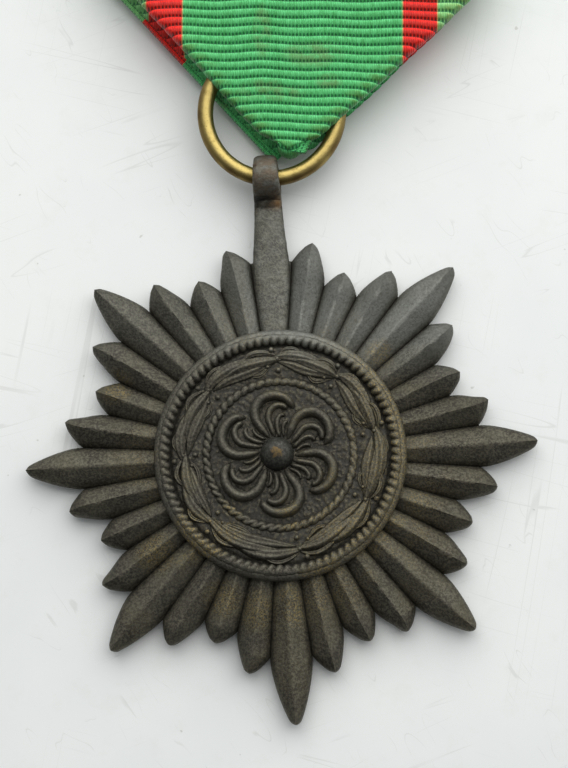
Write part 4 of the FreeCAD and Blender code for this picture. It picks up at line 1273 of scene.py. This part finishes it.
def make_catch(metal):
    """A strip bent down behind the needle and under it, with a lip that ends in front."""
    wall = NEEDLE_UP + NEEDLE_RADIUS + GAP + CATCH_SHEET / 2
    floor = NEEDLE_Z - NEEDLE_RADIUS - GAP - CATCH_SHEET / 2
    path = [(wall, -2.36), (wall, -2.6)]
    for angle in np.radians(np.linspace(0, 90, 9)):
        back = wall - CATCH_BEND + CATCH_BEND * math.cos(angle)
        path.append((back, floor + CATCH_BEND - CATCH_BEND * math.sin(angle)))
    path = np.array(path + [(37.2, floor), (36.9, floor), (36.62, floor)])
    half = CATCH_LENGTH / 2
    points, _ = bent_strip(path, half, CATCH_SHEET, squareness=0.3, sides=24, middle=CATCH_END - half)
    catch = grid_piece("needle_catch", HANG_FRAME, points, sharp=50, caps=True)
    place(catch, "ribbon", ["pin_catch"], metal)


def make_bar_stitches(cotton):
    """Four loops of doubled thread through the bar's holes."""
    shell = Shell()
    under = BAR_FACE - BAR_THICK - 0.16
    leg = [(STITCH_HALF, -1.53), (STITCH_HALF, -1.9), (STITCH_HALF, -2.3)]
    bend = np.linspace(0, math.pi, 15)
    route = leg + [(STITCH_HALF * math.cos(a), under - 0.22 * math.sin(a)) for a in bend]
    route += [(-x, z) for x, z in reversed(leg)]
    for stitch in STITCHES:
        for strand in (-0.11, 0.11):
            path = [(RIBBON_MIDDLE + stitch + x, BAR_MIDDLE + strand, z) for x, z in route]
            shell.grid(tube(path, 0.13, 10, 0.04), wrap=True, caps=True)
    piece = shell.piece("bar_thread", HANG_FRAME)
    return place(piece, "ribbon", ["bar_stitches"], cotton)


# ---------------------------------------------------------------- the stage

VIEW_DISTANCE = 0.200
VIEW_TARGET = Vector((0.13, 5.95, 0)) * MM
VIEW_TILT, VIEW_SWING = math.radians(8.42), math.radians(2.66)
VIEW_LENS = 118.7
BOARD_HALF = 900.0
LAMP_AT, LAMP_SIZE, LAMP_WATTS, LAMP_COLOUR = (0.050, 0.165, 0.21), (0.46, 0.36), 0.88, (1.0, 0.995, 0.97)
SKY_COLOUR = (0.95, 0.98, 1.0, 1.0)
# the direction that the room is brightest in, and how its light fades away from there
BRIGHT_SIDE = (0.22, 0.975, 0.0)
SKY_FADE = {"From Min": -0.8, "From Max": 0.9, "To Min": 0.05, "To Max": 0.96}


def make_camera():
    data = bpy.data.cameras.new("camera")
    data.lens = VIEW_LENS
    camera = bpy.data.objects.new("camera", data)
    bpy.context.scene.collection.objects.link(camera)
    aim = Matrix.Rotation(VIEW_TILT, 4, "X") @ Matrix.Rotation(VIEW_SWING, 4, "Y")
    camera.matrix_world = Matrix.Translation(VIEW_TARGET) @ aim @ Matrix.Translation((0, 0, VIEW_DISTANCE))
    bpy.context.scene.camera = camera


def make_lamp():
    """A broad soft lamp, like a window, above the right of the loop."""
    data = bpy.data.lights.new("window", "AREA")
    data.shape = "RECTANGLE"
    data.size, data.size_y = LAMP_SIZE
    data.energy = LAMP_WATTS
    data.color = LAMP_COLOUR
    lamp = bpy.data.objects.new("window", data)
    bpy.context.scene.collection.objects.link(lamp)
    lamp.location = LAMP_AT
    lamp.rotation_mode = "QUATERNION"
    lamp.rotation_quaternion = (Vector(LAMP_AT) - VIEW_TARGET).to_track_quat("Z", "Y")


def make_sky():
    """A pale room that is brighter towards one side."""
    world = bpy.data.worlds.new("room")
    world.use_nodes = True
    nodes, links = world.node_tree.nodes, world.node_tree.links
    nodes["Background"].inputs["Color"].default_value = SKY_COLOUR
    sky = nodes.new("ShaderNodeTexCoord")
    towards = nodes.new("ShaderNodeVectorMath")
    towards.operation = "DOT_PRODUCT"
    towards.inputs[1].default_value = BRIGHT_SIDE
    fade = nodes.new("ShaderNodeMapRange")
    for name, value in SKY_FADE.items():
        fade.inputs[name].default_value = value
    links.new(sky.outputs["Generated"], towards.inputs[0])
    links.new(towards.outputs["Value"], fade.inputs["Value"])
    links.new(fade.outputs[0], nodes["Background"].inputs["Strength"])
    bpy.context.scene.world = world
    bpy.context.scene.view_settings.view_transform = "Standard"


def make_board():
    """The white surface that the medal lies on."""
    side = np.linspace(-BOARD_HALF, BOARD_HALF, 13)
    shell = Shell()
    shell.grid(surface(side, side[:, None], 0))
    board = shell.piece("board", np.eye(4))
    board.data.materials.append(table_top())


make_camera()
make_board()
make_lamp()
make_sky()
make_star()
make_medallion()
make_stud()
make_ring()
ribbon = make_ribbon()
cotton = thread("green_cotton", (0.06, 0.22, 0.09), (0.16, 0.36, 0.18))
hem = make_hem_stitches(cotton)
make_buckram()
metal = steel("brooch_nickel")
make_bar(metal)
make_needle(metal)
make_rivet(metal)
make_catch(metal)
make_bar_stitches(cotton)
